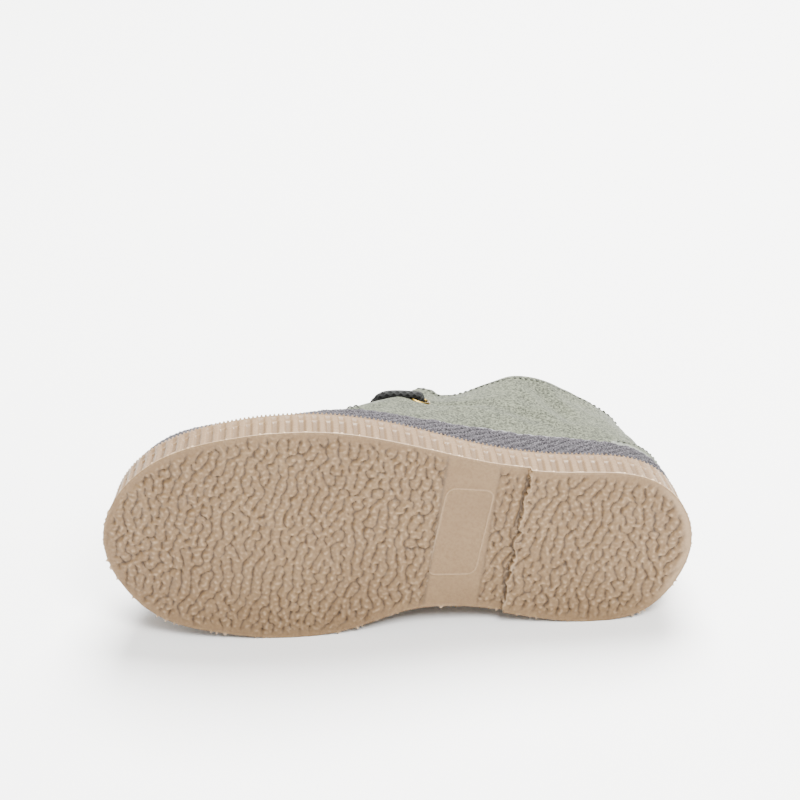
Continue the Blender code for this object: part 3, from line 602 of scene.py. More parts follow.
# Heel breast: an uneven step up from the heel to the waist
tread_place = joint_place(tread_plan)
from_breast = tread_place + 0.4 * swell + 0.22 * wobble - BREAST_PLACE
rise = arch_height(np.maximum(tread_place, BREAST_PLACE)) * smoothstep(-0.15, 0.25, from_breast)
sink = sink * (1.0 - 0.8 * bell(from_breast, 1.6))
sink *= smoothstep(0.0, 0.8, tread_away)
tread_points = np.column_stack([tread_plan, spring_height(tread_place) + rise + sink])

# Painted shade in the crevices, painted shadow lines at the panel's ends and a painted shadow just before the
# breast
tread_painted_shade = (0.78 * (1.0 - smoothstep(0.0, 0.55, inside)) + 0.14 * smoothstep(0.3, -1.3, knob)) * border
tread_painted_shade *= 1.0 - on_panel
panel_end_shadow = bell(panel_place - PANEL_TOE_SIDE, 0.6) + 0.6 * bell(panel_place - PANEL_HEEL_SIDE, 0.5)
tread_painted_shade = np.maximum(tread_painted_shade, 0.5 * panel_end_shadow * smoothstep(0.3, 2.0, tread_away))
breast_shade = bell(from_breast - 0.45, 0.4) * smoothstep(1.0, 4.0, tread_away)
tread_painted_shade = np.maximum(tread_painted_shade, 0.8 * breast_shade)

# Paler rubber: flash at the tread's edge, heel wear, worn knob tops with a painted highlight, and painted
# highlights on the panel's line and along the lip of the breast
worn_and_highlight = 0.2 * smoothstep(0.2, 1.5, knob) * dome * border * (1.0 - on_panel)
tread_pale_and_highlight = worn_and_highlight + 0.02 * on_panel + 0.16 * line * on_panel + 0.3 * smoothstep(0.6, 0.1, tread_away)
heel_border = smoothstep(14.0, 4.0, tread_plan[:, 0]) * smoothstep(3.5, 1.0, tread_away)
breast_lip_highlight = bell(from_breast + 0.35, 0.3) * smoothstep(0.5, 2.0, tread_away)
tread_pale_and_highlight = np.maximum(tread_pale_and_highlight, np.maximum(0.2 * heel_border, 0.2 * breast_lip_highlight))
on_edge = tread_source < wall_count
tread_points[on_edge] = wall_points[0][tread_source[on_edge]]

sole_points = np.concatenate(wall_points + [tread_points])
sole_faces = []
for row in range(len(wall_points) - 1):
    sole_faces += ring_faces(row * wall_count, (row + 1) * wall_count, wall_count)
tread_start = len(wall_points) * wall_count
tread_index = np.where(on_edge, tread_source, tread_start + np.arange(len(tread_plan)))
sole_faces += [[int(tread_index[i]) for i in face[::-1]] for face in tread_faces]
cup_start = (len(wall_points) - 1) * wall_count
_, cup_source, cup_faces = fill_loop(cup_edge[:, :2])
sole_faces += [[int(cup_start + cup_source[i]) for i in face] for face in cup_faces]
outsole = add_piece("cup_sole", sole_points, sole_faces, [crepe_rubber], {
    "pale_rubber_and_highlight": np.concatenate(wall_pale_and_highlight + [tread_pale_and_highlight]),
    "painted_crevice_shade": np.concatenate(wall_painted_shade + [tread_painted_shade])})
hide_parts("outsole")
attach(outsole, "root")

# The rim's picot edge: a row of small beads of the same rubber, moulded on to the rim
BEADS_PER_RIB = 3
BEAD_SIZE = (0.8, 1.6, 2.5)

row_group = bpy.data.node_groups.new("dashes_along_rows", "GeometryNodeTree")
row_group.interface.new_socket("Geometry", in_out="INPUT", socket_type="NodeSocketGeometry")
row_sockets = {}
for name in ("Pitch", "Length", "Width", "Height", "Finish"):
    kind = "NodeSocketMaterial" if name == "Finish" else "NodeSocketFloat"
    row_sockets[name] = row_group.interface.new_socket(name, in_out="INPUT", socket_type=kind).identifier
row_group.interface.new_socket("Geometry", in_out="OUTPUT", socket_type="NodeSocketGeometry")
given = add_node(row_group, "NodeGroupInput", {})
rows = add_node(row_group, "GeometryNodeMeshToCurve", {"Mesh": given.outputs["Geometry"]})
spaced = add_node(row_group, "GeometryNodeResampleCurve", {
    "Curve": rows.outputs["Curve"], "Length": given.outputs["Pitch"]}, mode="LENGTH")
bead = add_node(row_group, "GeometryNodeMeshUVSphere", {"Segments": 8, "Rings": 5, "Radius": 0.5})
size = add_node(row_group, "ShaderNodeCombineXYZ", {
    "X": given.outputs["Length"], "Y": given.outputs["Width"], "Z": given.outputs["Height"]})
dash = add_node(row_group, "GeometryNodeTransform", {
    "Geometry": bead.outputs["Mesh"], "Scale": size.outputs["Vector"]})
tangent = add_node(row_group, "GeometryNodeInputTangent", {})
outward = add_node(row_group, "GeometryNodeInputNamedAttribute", {
    "Name": "outward"}, data_type="FLOAT_VECTOR")
facing = add_node(row_group, "FunctionNodeAxesToRotation", {
    "Primary Axis": tangent.outputs["Tangent"], "Secondary Axis": outward.outputs["Attribute"]},
    primary_axis="X", secondary_axis="Z")
placed = add_node(row_group, "GeometryNodeInstanceOnPoints", {
    "Points": spaced.outputs["Curve"], "Instance": dash.outputs["Geometry"],
    "Rotation": facing.outputs["Rotation"]})
whole = add_node(row_group, "GeometryNodeRealizeInstances", {"Geometry": placed.outputs["Instances"]})
finished = add_node(row_group, "GeometryNodeSetMaterial", {
    "Geometry": whole.outputs["Geometry"], "Material": given.outputs["Finish"]})
add_node(row_group, "NodeGroupOutput", {"Geometry": finished.outputs["Geometry"]})


def dashes_along(name, rows, closed, pitch, size, finish):
    """One mesh of small rounded dashes along rows, each of points in millimetres and the ways out of them."""
    points, outs, links = [], [], []
    for row_points, row_outs in rows:
        start, count = len(points), len(row_points)
        points += list(row_points)
        outs += list(np.asarray(row_outs) @ boot_axes)
        links += [(start + k, start + (k + 1) % count) for k in range(count if closed else count - 1)]
    guide_mesh = bpy.data.meshes.new(name + "_guide")
    guide_mesh.from_pydata(to_scene(points).tolist(), links, [])
    marks = guide_mesh.attributes.new("outward", "FLOAT_VECTOR", "POINT")
    marks.data.foreach_set("vector", np.ravel(outs).astype(np.float32))
    guide = bpy.data.objects.new(name + "_guide", guide_mesh)
    bpy.context.scene.collection.objects.link(guide)
    repeat = guide.modifiers.new("repeat", "NODES")
    repeat.node_group = row_group
    for socket, value in zip(("Pitch", "Length", "Width", "Height"), (pitch, *size)):
        repeat[row_sockets[socket]] = value * 0.001
    repeat[row_sockets["Finish"]] = finish
    evaluated = guide.evaluated_get(bpy.context.evaluated_depsgraph_get())
    piece = bpy.data.objects.new(name, bpy.data.meshes.new_from_object(evaluated))
    bpy.context.scene.collection.objects.link(piece)
    bpy.data.objects.remove(guide)
    return piece


bead_line = np.column_stack([outline_inset(wall_places, wall_draft + 0.55), RIM_HEIGHT - 1.2 + wall_spring])
bead_pitch = np.linalg.norm(np.roll(bead_line, -1, 0) - bead_line, axis=1).sum() / (RIB_COUNT * BEADS_PER_RIB)
rim_beads = dashes_along("rim_picot", [(bead_line, np.tile((0.0, 0.0, 1.0), (wall_count, 1)))], True,
                         bead_pitch, BEAD_SIZE, crepe_rubber)
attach(rim_beads, "root")

# Upper
# Sage suede vamp and quarters with a cotton lining, lasted as one wall. The quarters lap over the vamp by the
# thickness of the suede. It is open at the collar, down the throat and under the foot.
WALL = 2.0
QUARTER_STEP = 1.0
UPPER_COLUMNS = 400
UPPER_ROWS = np.append(np.linspace(0.0, 0.972, 78), (0.979, 0.985, 0.990, 0.994, 0.997, 1.0))
SEAM_WIDTH = 0.0016
EDGE_ROUND = 1.15
QUARTER_FRONT = (
    # row   along
    (0.00, 0.560),
    (0.40, 0.585),
    (0.65, 0.600),
    (0.80, 0.602),
    (0.90, 0.588),
    (0.95, 0.572),
    (1.00, 0.552),
)
CREASES = (
    # name          side    x0    z0    x1    z1  width depth
    ("collar_fold",   1,  49.0, 76.0, 37.0, 51.0,  3.2, 0.95),
    ("ankle_sag",     1,  74.0, 62.0, 50.0, 50.0,  5.0, 0.40),
    ("heel_fold",     1,  24.0, 66.0, 10.0, 52.0,  3.5, 0.45),
    ("facing_pull",   1,  83.0, 57.5, 65.0, 57.0,  2.6, 0.90),
    ("ankle_pull",    1,  60.0, 56.0, 42.0, 44.0,  3.5, 0.55),
    ("ankle_fold",   -1,  62.0, 66.0, 34.0, 56.0,  5.0, 0.50),
    ("heel_fold_in", -1,  26.0, 62.0, 12.0, 50.0,  4.0, 0.40),
    ("vamp_bend",     1, 128.0, 46.0, 122.0, 34.0, 5.0, 0.35),
    ("vamp_bend_in", -1, 130.0, 46.0, 124.0, 34.0, 5.0, 0.35),
)


def seam_places(side, rows):
    """Places where the quarter's front edge crosses each row, on its way from the sole up to the throat."""
    dense = np.linspace(0.0 if side > 0 else 1.0, OUTLINE_PLACE["toe_tip"], 401)
    shares = np.interp(rows, *np.transpose(QUARTER_FRONT))
    reach = [upper_point(dense, row)[:, 0] for row in rows]
    return np.array([np.interp(share * SOLE_LENGTH, x, dense) for share, x in zip(shares, reach)])


def slanted_grid(places, rows):
    """Columns on every row, moved so that the columns at the quarters' front edges follow them."""
    toe = OUTLINE_PLACE["toe_tip"]
    grid = {}
    for side, heel in ((1, 0.0), (-1, 1.0)):
        seam = seam_places(side, rows)
        place = np.repeat(places[:, None], len(rows), 1)
        behind = heel + (place - heel) * (seam - heel) / (seam[0] - heel)
        ahead = toe - (toe - place) * (toe - seam) / (toe - seam[0])
        grid[side] = np.where((place - seam[0]) * (toe - seam[0]) > 0.0, ahead, behind)
    return np.where(places[:, None] < toe, grid[1], grid[-1])


def crease_depth(points):
    """How far the creases press the suede in at points of the upper."""
    depth = np.zeros(points.shape[:-1])
    for _, side, x0, z0, x1, z1, width, deep in CREASES:
        run = np.array((x1 - x0, z1 - z0))
        offset = points[..., (0, 2)] - np.array((x0, z0))
        share = np.clip(offset @ run / (run @ run), 0.0, 1.0)
        away = np.linalg.norm(offset - share[..., None] * run, axis=-1) / width
        fold = bell(away, 1.0) - 0.55 * bell(away - 1.5, 0.8)
        ends = np.sin(math.pi * np.clip(share * 0.8 + 0.1, 0.0, 1.0))
        own_side = smoothstep(0.0, 4.0, side * (points[..., 1] - axis_offset(points[..., 0])))
        depth += deep * fold * ends * own_side
    return depth


def left_to_edge(columns):
    """Distance left from each point of a column, or of many columns, to its last point."""
    runs = np.linalg.norm(np.diff(columns, axis=-2), axis=-1)
    left = np.cumsum(runs[..., ::-1], axis=-1)[..., ::-1]
    return np.concatenate([left, np.zeros((*left.shape[:-1], 1))], -1)


def two_skins(outer, inner):
    """The points of a wall's outer and inner grid as one list."""
    return np.concatenate([outer.reshape(-1, 3), inner.reshape(-1, 3)])


def wall_faces(columns, rows, closed):
    """Faces of a wall between an outer and an inner grid, and each face's side: 0, 1 or, at the rim, 2."""
    shift = columns * rows
    last = columns if closed else columns - 1
    faces, sides = [], []
    for c in range(last):
        a, b = c * rows, (c + 1) % columns * rows
        for r in range(rows - 1):
            faces.append((a + r, b + r, b + r + 1, a + r + 1))
            faces.append((shift + a + r + 1, shift + b + r + 1, shift + b + r, shift + a + r))
            sides += [0, 1]
        faces.append((a, shift + a, shift + b, b))
        faces.append((a + rows - 1, b + rows - 1, shift + b + rows - 1, shift + a + rows - 1))
        sides += [2, 2]
    if not closed:
        end = (columns - 1) * rows
        for r in range(rows - 1):
            faces.append((r, r + 1, shift + r + 1, shift + r))
            faces.append((end + r, shift + end + r, shift + end + r + 1, end + r + 1))
            sides += [2, 2]
    return faces, sides


dense = np.linspace(0.0, 1.0, 2001)
ends = np.array((0.0, 1.0))
edge_runs = np.linalg.norm(np.diff(upper_point(slanted_grid(dense, ends), ends), axis=0), axis=-1).sum(1)
edge_length = np.append(0.0, np.cumsum(edge_runs))
upper_places = np.interp(np.arange(UPPER_COLUMNS) / UPPER_COLUMNS * edge_length[-1], edge_length, dense)
seam_feet = [float(seam_places(side, ends)[0]) for side in (1, -1)]
upper_places = [p for p in upper_places if min(abs(p - foot) for foot in seam_feet) > 1.2 * SEAM_WIDTH]
seam_columns = [foot + shift * SEAM_WIDTH for foot in seam_feet for shift in (-0.5, 0.0, 0.5)]
upper_places = np.sort(np.append(upper_places, seam_columns))
place = slanted_grid(upper_places, UPPER_ROWS)
t = np.repeat(UPPER_ROWS[None, :], len(upper_places), 0)
from_seam = np.minimum(upper_places - seam_feet[0], seam_feet[1] - upper_places)
quarter = 1.0 - smoothstep(-0.5 * SEAM_WIDTH, 0.5 * SEAM_WIDTH, from_seam)
face = upper_point(place, t)
to_edge = left_to_edge(face)
rounding = EDGE_ROUND - np.sqrt(EDGE_ROUND ** 2 - np.clip(EDGE_ROUND - to_edge, 0.0, EDGE_ROUND) ** 2)
swell = noise_at(place * outline_runs.sum(), to_edge, 41, (256, 128), 2.0, 16.0)
above_rand = np.clip(t * 6.0 - 2.1, 0.0, 1.0)
lap = QUARTER_STEP * quarter[:, None]
lift = lap * above_rand + 0.14 * swell * above_rand - crease_depth(face) * above_rand
outer = upper_offset(place, t, lift - rounding)
inner = upper_offset(place, t, rounding - WALL + 0.5 * np.minimum(lift - lap, 0.0))
inner[:, 0, 2] = outer[:, 0, 2]

# Suede: split leather with a short brushed nap. The nap lies in patches that look lighter or darker, its fine
# pile gives a speckle, and it has a soft bloom at grazing angles and no gloss.
sage_suede, tree, shader, where = new_finish("sage_suede")
brushed = noise(tree, where, 9.0, Detail=4.0, Roughness=0.6, Distortion=0.6)
nap = noise(tree, where, 0.8, Detail=3.0, Roughness=0.75)
laid = blend(tree, stretch(tree, brushed, 0.32, 0.68), "#23261d", "#4a4d3e")
piled = blend(tree, stretch(tree, nap, 0.39, 0.61), "#090b06", "#717462")
fill_inputs(tree, shader, {
    "Base Color": blend(tree, mark(tree, "cut_edge"), blend(tree, 0.58, laid, piled), "#8a8c83"),
    "Normal": bump(tree, nap, 0.6, 0.25),
    "Roughness": 0.95,
    "Specular IOR Level": 0.2,
    "Sheen Weight": 0.08,
    "Sheen Roughness": 0.5})

# Cotton drill lining in natural tan, a close plain weave with no gloss
tan_lining, tree, shader, where = new_finish("cotton_drill")
slub = noise(tree, where, 1.2, Detail=3.0, Roughness=0.6)
fill_inputs(tree, shader, {
    "Base Color": blend(tree, slub, "#625545", "#7f7260"),
    "Normal": bump(tree, slub, 0.4, 0.2),
    "Roughness": 0.9})

upper_faces, upper_sides = wall_faces(len(upper_places), len(UPPER_ROWS), True)
inner_cut = smoothstep(0.7, 0.0, to_edge)
seam_edge = bell(from_seam + 0.2 * SEAM_WIDTH, 0.35 * SEAM_WIDTH)
outer_cut = np.maximum(inner_cut, 0.5 * seam_edge[:, None])
upper = add_piece("suede_upper", two_skins(outer, inner), upper_faces, [sage_suede, tan_lining],
                  {"cut_edge": np.concatenate([outer_cut.ravel(), inner_cut.ravel()])},
                  [int(side == 1) for side in upper_sides])

# Eyelet holes through the quarters
EYELET_ALONG = {"top": 0.424, "low": 0.512}
EYELET_FROM_EDGE = {"top": 18.0, "low": 9.0}
EYELET_BARREL = 4.9
EYELET_REACH = 6.0
HOLE_MARGIN = 0.3


def side_place(side, along):
    """Place on the outer (1) or inner (-1) side whose top edge lies that far along the sole."""
    dense = np.linspace(0.0 if side > 0 else 1.0, OUTLINE_PLACE["toe_tip"], 801)
    return float(np.interp(along * SOLE_LENGTH, profile_curve(dense)[:, 0], dense))


def quarter_spot(side, along, below):
    """Point on the quarter's face, some distance below its edge, and the way out of the face."""
    spot_t = np.linspace(0.5, 1.0, 401)
    spot_place = side_place(side, along)
    at = np.interp(-below, -left_to_edge(upper_point(spot_place, spot_t)), spot_t)
    normal = upper_normal(spot_place, at)
    return upper_point(spot_place, at) + normal * QUARTER_STEP, normal


eyelet_spots = {(side, row): quarter_spot(side, along, EYELET_FROM_EDGE[row])
                for row, along in EYELET_ALONG.items() for side in (1, -1)}
cutter = bmesh.new()
cutter.from_mesh(upper.data)
for centre, normal in eyelet_spots.values():
    centre, normal = to_scene(centre), normal @ boot_axes
    gone = []
    for suede in cutter.faces:
        offset = np.array(suede.calc_center_median()) - centre
        height = offset @ normal
        off_axis = np.linalg.norm(offset - height * normal)
        if abs(height) < 0.001 * EYELET_REACH and off_axis < 0.001 * (0.5 * EYELET_BARREL + HOLE_MARGIN):
            gone.append(suede)
    bmesh.ops.delete(cutter, geom=gone, context="FACES")
    hole = [edge for edge in cutter.edges if edge.is_boundary]
    bmesh.ops.bridge_loops(cutter, edges=hole)
cutter.to_mesh(upper.data)
cutter.free()
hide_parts("upper")
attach(upper, "root")

# Footbed
# A thin foam sock covered with the lining's cotton, cut to the shape of the foot and laid on the cup's floor.
INSOLE_THICKNESS = 2.5
INSOLE_CLEARANCE = 0.9
FOOTBED_ROWS = (
    # further_in  height
    (0.0,         0.0),
    (0.0,         1.5),
    (0.3,         2.2),
    (1.0,         2.5),
)
BED_POINTS = 300
BED_LATTICE = 2.5

bed_places = even_places(BED_POINTS)
bed_loops = []
for further_in, height in FOOTBED_ROWS:
    loop = upper_offset(bed_places, 0.0, np.full(BED_POINTS, -WALL - INSOLE_CLEARANCE - further_in))
    loop[:, 2] = upper_point(bed_places, 0.0)[:, 2] + height
    bed_loops.append(loop)
bed_edge = bed_loops[-1][:, :2]
bed_lattice = plan_grid((0.0, SOLE_LENGTH), SOLE_ACROSS, BED_LATTICE, BED_LATTICE)
over, under = loop_sides(bed_edge, bed_lattice[:, 0])
bed_ends = (bed_lattice[:, 0] > bed_edge[:, 0].min() + 2.0) & (bed_lattice[:, 0] < bed_edge[:, 0].max() - 2.0)
bed_lattice = bed_lattice[(bed_lattice[:, 1] < over - 1.5) & (bed_lattice[:, 1] > under + 1.5) & bed_ends]
bed_plan, bed_source, bed_fill = fill_loop(bed_edge, bed_lattice)
bed_level = CUP_FLOOR + GAP + INSOLE_THICKNESS
bed_top = np.column_stack([bed_plan, bed_level + spring_height(joint_place(bed_plan))])
bed_start = len(bed_loops) * BED_POINTS
top_loop = bed_start - BED_POINTS
bed_faces = []
for row in range(len(bed_loops) - 1):
    bed_faces += ring_faces(row * BED_POINTS, (row + 1) * BED_POINTS, BED_POINTS)
bed_number = bed_start + np.arange(len(bed_plan))
bed_index = np.where(bed_source < BED_POINTS, top_loop + bed_source, bed_number)
bed_faces += [[int(bed_index[i]) for i in face] for face in bed_fill]
_, under_source, under_fill = fill_loop(bed_loops[0][:, :2])
bed_faces += [[int(under_source[i]) for i in face[::-1]] for face in under_fill]
footbed = add_piece("footbed", np.concatenate(bed_loops + [bed_top]), bed_faces, [tan_lining])
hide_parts("insole")
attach(footbed, "root")

# Rand
# A heavy cotton twill band, wrapped round the foot of the upper and glued on over the sole's rim. Its cords
# run at a slant along it, and its upper selvedge is frayed and pale.
RAND_HEIGHT = 16.0
RAND_HEEL_DIP = 3.0
RAND_THICKNESS = 2.2
RAND_COLUMNS = 1300
CORD_PITCH = 2.9
CORD_ANGLE = math.radians(40.0)
CORD_RELIEF = 0.85
TWIST_PITCH = 1.25
RAND_SHARES = np.array((0.0, 0.03, 0.07, *np.linspace(0.11, 0.93, 30), 0.955, 0.975, 0.99, 1.0))


def rand_top(place):
    """Height of the rand's upper edge above the ground line of the sole, which dips round the heel."""
    from_heel = np.minimum(place % 1.0, 1.0 - place % 1.0)
    return RIM_HEIGHT + GAP + RAND_HEIGHT - RAND_HEEL_DIP * (1.0 - smoothstep(0.04, 0.16, from_heel))


rand_places = even_places(RAND_COLUMNS)
rand_along = np.arange(RAND_COLUMNS) * outline_runs.sum() / RAND_COLUMNS
fray = noise_at(rand_along, 0.0, 51, (512, 8), 1.0, 7.0)
fray_fine = noise_at(rand_along, 0.0, 52, (1024, 8), 0.5, 1.8)
low = upper_at_height(rand_places, RIM_HEIGHT + GAP)
end_phase = (RAND_HEIGHT * math.cos(CORD_ANGLE) + rand_along * math.sin(CORD_ANGLE)) / CORD_PITCH
scallop = 0.18 * np.cos(2.0 * math.pi * (end_phase - 0.1))
high = upper_at_height(rand_places, rand_top(rand_places) + scallop + 0.3 * fray + 0.2 * fray_fine)
place = np.repeat(rand_places[:, None], len(RAND_SHARES), 1)
t = low[:, None] + (high - low)[:, None] * RAND_SHARES
across_mm = RAND_SHARES * RAND_HEIGHT
along_mm = rand_along[:, None]
wander = noise_at(along_mm, across_mm, 53, (256, 64), 2.0, 11.0)
phase = (across_mm * math.cos(CORD_ANGLE) + along_mm * math.sin(CORD_ANGLE)) / CORD_PITCH + 0.12 * wander
cord = 0.5 + 0.5 * np.cos(2.0 * math.pi * phase)
lengthways = along_mm * math.cos(CORD_ANGLE) - across_mm * math.sin(CORD_ANGLE)
twist = np.cos(2.0 * math.pi * (lengthways / TWIST_PITCH + 0.6 * phase))
fuzz = noise_at(along_mm, across_mm, 54, (1024, 64), 0.4, 1.0, 0.5)
bulge = np.interp(RAND_SHARES, (0.0, 0.35, 0.75, 1.0), (0.8, 1.0, 0.95, 0.55))
inside_edges = smoothstep(0.0, 0.06, RAND_SHARES) * smoothstep(1.0, 0.94, RAND_SHARES)
relief = CORD_RELIEF * (np.sqrt(cord) - 0.75) + 0.12 * twist * cord + 0.12 * fuzz
outer = upper_offset(place, t, GAP + RAND_THICKNESS * bulge + relief * inside_edges)
inner = upper_offset(place, t, np.full(place.shape, GAP))
rand_base = RIM_HEIGHT + GAP + spring_height(joint_place(outline_curve(rand_places)))
outer[:, 0, 2] = rand_base
inner[:, 0, 2] = rand_base

# Cotton twill: dull, in a mauve grey dye, with paler fibres on the cords and painted shade in the gaps
# between them
grey_twill, tree, shader, where = new_finish("cotton_twill")
fibre = noise(tree, where, 0.5, Detail=3.0, Roughness=0.7)
# Painted shade: the cord mark keeps the cords lighter and darkens the gaps and twists between them
cord_gap_shaded = blend(tree, mark(tree, "cord"), "#080709", "#2c282c")
fibred = blend(tree, stretch(tree, fibre, 0.45, 0.7, 0.0, 0.48), cord_gap_shaded, "#827e83")
fill_inputs(tree, shader, {
    "Base Color": blend(tree, mark(tree, "frayed"), fibred, "#77767a"),
    "Normal": bump(tree, fibre, 0.7, 0.25),
    "Roughness": 0.95,
    "Specular IOR Level": 0.15,
    "Sheen Weight": 0.1})

rand_faces, _ = wall_faces(RAND_COLUMNS, len(RAND_SHARES), True)
frayed_edge = np.broadcast_to(smoothstep(0.95, 0.995, RAND_SHARES), place.shape)
# Painted shade in the gaps and twists between the cords
cord_gap_shade = np.clip(cord * (0.7 + 0.3 * twist) + 0.25 * fuzz, 0.0, 1.0) * smoothstep(-0.03, 0.1, RAND_SHARES)
rand = add_piece("twill_rand", two_skins(outer, inner), rand_faces, [grey_twill], {
    "cord": np.concatenate([cord_gap_shade.ravel(), np.zeros(cord_gap_shade.size)]),
    "frayed": np.concatenate([frayed_edge.ravel(), np.zeros(cord_gap_shade.size)])})
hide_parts("rand")
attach(rand, "root")

# Heel counter
# A low crescent of the same suede, sewn over the back of the quarters above the rand, with a pale cut edge.
COUNTER_THICKNESS = 1.2
COUNTER_RISE = 9.0
COUNTER_SPAN = 0.085
COUNTER_COLUMNS = 81


def counter_arc(reach):
    """Height of the patch above its foot, from one end, -1, to the other, 1."""
    return COUNTER_RISE * (0.08 + 0.92 * (1.0 - np.abs(reach) ** 1.6))


reach = np.linspace(-1.0, 1.0, COUNTER_COLUMNS)
counter_places = reach * COUNTER_SPAN
counter_foot = rand_top(counter_places) + 2 * GAP
counter_low = upper_at_height(counter_places % 1.0, counter_foot)
counter_high = upper_at_height(counter_places % 1.0, counter_foot + counter_arc(reach))
share = np.concatenate([(0.0, 0.02, 0.06), np.linspace(0.12, 0.88, 14), (0.94, 0.98, 1.0)])
place = np.repeat(counter_places[:, None], len(share), 1)
t = counter_low[:, None] + (counter_high - counter_low)[:, None] * share
rim = np.minimum(share, 1.0 - share)[None, :] * (counter_high - counter_low)[:, None] * 75.0
rim = np.minimum(rim, (1.0 - np.abs(reach))[:, None] * 36.0)
thick = COUNTER_THICKNESS * np.sqrt(np.clip(rim / 0.9, 0.05, 1.0))
counter_outer = upper_offset(place, t, QUARTER_STEP + 0.15 + thick)
counter_inner = upper_offset(place, t, np.full(place.shape, QUARTER_STEP - 0.2))
counter_faces, _ = wall_faces(COUNTER_COLUMNS, len(share), False)
counter_cut = smoothstep(0.8, 0.1, rim).ravel()
counter = add_piece("heel_counter_patch", two_skins(counter_outer, counter_inner), counter_faces,
                    [sage_suede], {"cut_edge": np.concatenate([counter_cut, counter_cut])})
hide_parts("heel_counter")
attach(counter, "root")

# Tongue
# A strip of the suede, sewn in under the end of the vamp, that runs up through the throat past the collar.
TONGUE_THICKNESS = 1.8
TONGUE_CURVE = 8.0
TONGUE_COLUMNS = 61
TONGUE_ROUND = 0.85
TONGUE_PROFILE = (
    # along   up    half_width
    (0.612, 58.6, 12.0),
    (0.565, 56.0, 14.0),
    (0.517, 56.8, 15.0),
    (0.465, 62.0, 13.6),
    (0.415, 69.5, 13.0),
    (0.378, 77.5, 13.0),
    (0.362, 82.5, 11.5),
)


def smooth_rows(table, count):
    """Rows of a short table filled in to an even count by a smooth curve through them."""
    rows = np.asarray(table, float)
    padded = np.vstack([2 * rows[0] - rows[1], rows, 2 * rows[-1] - rows[-2]])
    at = np.linspace(0.0, len(rows) - 1.0, count)
    i = np.minimum(at.astype(int), len(rows) - 2)
    f = (at - i)[:, None]
    a, b, c, d = (padded[i + k] for k in range(4))
    return b + 0.5 * f * (c - a + f * (2 * a - 5 * b + 4 * c - d + f * (3 * (b - c) + d - a)))


tongue_rows = smooth_rows(TONGUE_PROFILE, TONGUE_COLUMNS)
across = np.concatenate([(-1.0, -0.985, -0.95), np.linspace(-0.9, 0.9, 27), (0.95, 0.985, 1.0)])
x = np.repeat(tongue_rows[:, :1] * SOLE_LENGTH, len(across), 1)
y = axis_offset(x) + tongue_rows[:, 2:] * across
z = tongue_rows[:, 1:2] - TONGUE_CURVE * across ** 2
middle = np.stack([x, y, z], -1)
normal = np.cross(np.gradient(middle, axis=0), np.gradient(middle, axis=1))
normal /= np.linalg.norm(normal, axis=-1, keepdims=True)
normal *= np.sign(normal[..., 2:])
to_side = (1.0 - np.abs(across)) * 14.0
to_end = np.minimum(np.arange(TONGUE_COLUMNS), np.arange(TONGUE_COLUMNS)[::-1])[:, None]
to_rim = np.clip(TONGUE_ROUND - np.minimum(to_side, to_end), 0.0, TONGUE_ROUND)
rounding = TONGUE_ROUND - np.sqrt(TONGUE_ROUND ** 2 - to_rim ** 2)
tongue_outer = middle - normal * rounding[..., None]
tongue_inner = middle - normal * (TONGUE_THICKNESS - rounding)[..., None]
tongue_faces, tongue_sides = wall_faces(TONGUE_COLUMNS, len(across), False)
tongue_cut = smoothstep(0.8, 0.0, np.minimum(to_side, to_end)).ravel()
tongue = add_piece("suede_tongue", two_skins(tongue_outer, tongue_inner), tongue_faces,
                   [sage_suede, tan_lining], {"cut_edge": np.concatenate([tongue_cut, tongue_cut])},
                   [int(side == 1) for side in tongue_sides])
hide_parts("tongue")
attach(tongue, "root")

# Eyelets
# Stamped brass eyelets, pressed through the quarters: a rolled flange on the suede, a barrel and a clenched
# flange on the lining.
EYELET_HOLE = 2.1
LINING_LEVEL = -(WALL + QUARTER_STEP)
EYELET_PROFILE = (
    # radius          height
    (EYELET_HOLE,        0.10),
    (EYELET_HOLE + 0.1,  0.48),
    (EYELET_HOLE + 0.35, 0.74),
    (EYELET_HOLE + 0.75, 0.80),
    (EYELET_HOLE + 1.15, 0.62),
    (EYELET_HOLE + 1.4,  0.32),
    (EYELET_HOLE + 1.5,  0.02),
    (EYELET_HOLE + 1.35, -0.1),
    (EYELET_HOLE + 0.35, -0.1),
    (EYELET_HOLE + 0.35, LINING_LEVEL),
    (EYELET_HOLE + 0.95, LINING_LEVEL - 0.05),
    (EYELET_HOLE + 1.0,  LINING_LEVEL - 0.35),
    (EYELET_HOLE + 0.5,  LINING_LEVEL - 0.6),
    (EYELET_HOLE,        LINING_LEVEL - 0.3),
)
EYELET_SEGMENTS = 48

# Brass, stamped and lacquered: warm yellow with a soft gloss and a little tarnish
brass, tree, shader, where = new_finish("stamped_brass")
tarnish = noise(tree, where, 1.5, Detail=3.0)
fill_inputs(tree, shader, {
    "Base Color": blend(tree, tarnish, "#4c3d17", "#8a7336"),
    "Roughness": stretch(tree, tarnish, 0.3, 0.7, 0.24, 0.42),
    "Metallic": 1.0})

for (side, row), (centre, normal) in eyelet_spots.items():
    u = np.cross(normal, (1.0, 0.0, 0.0))
    u /= np.linalg.norm(u)
    v = np.cross(normal, u)
    points, faces = [], []
    count = len(EYELET_PROFILE)
    for k in range(EYELET_SEGMENTS):
        angle = 2 * math.pi * k / EYELET_SEGMENTS
        spoke = u * math.cos(angle) + v * math.sin(angle)
        points += [centre + spoke * radius + normal * height for radius, height in EYELET_PROFILE]
        a, b = k * count, (k + 1) % EYELET_SEGMENTS * count
        faces += [(a + i, b + i, b + (i + 1) % count, a + (i + 1) % count) for i in range(count)]
    name = f"eyelet_{row}_{'outer' if side > 0 else 'inner'}"
    eyelet = add_piece(name + "_brass", points, faces, [brass])
    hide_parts(name)
    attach(eyelet, "root")

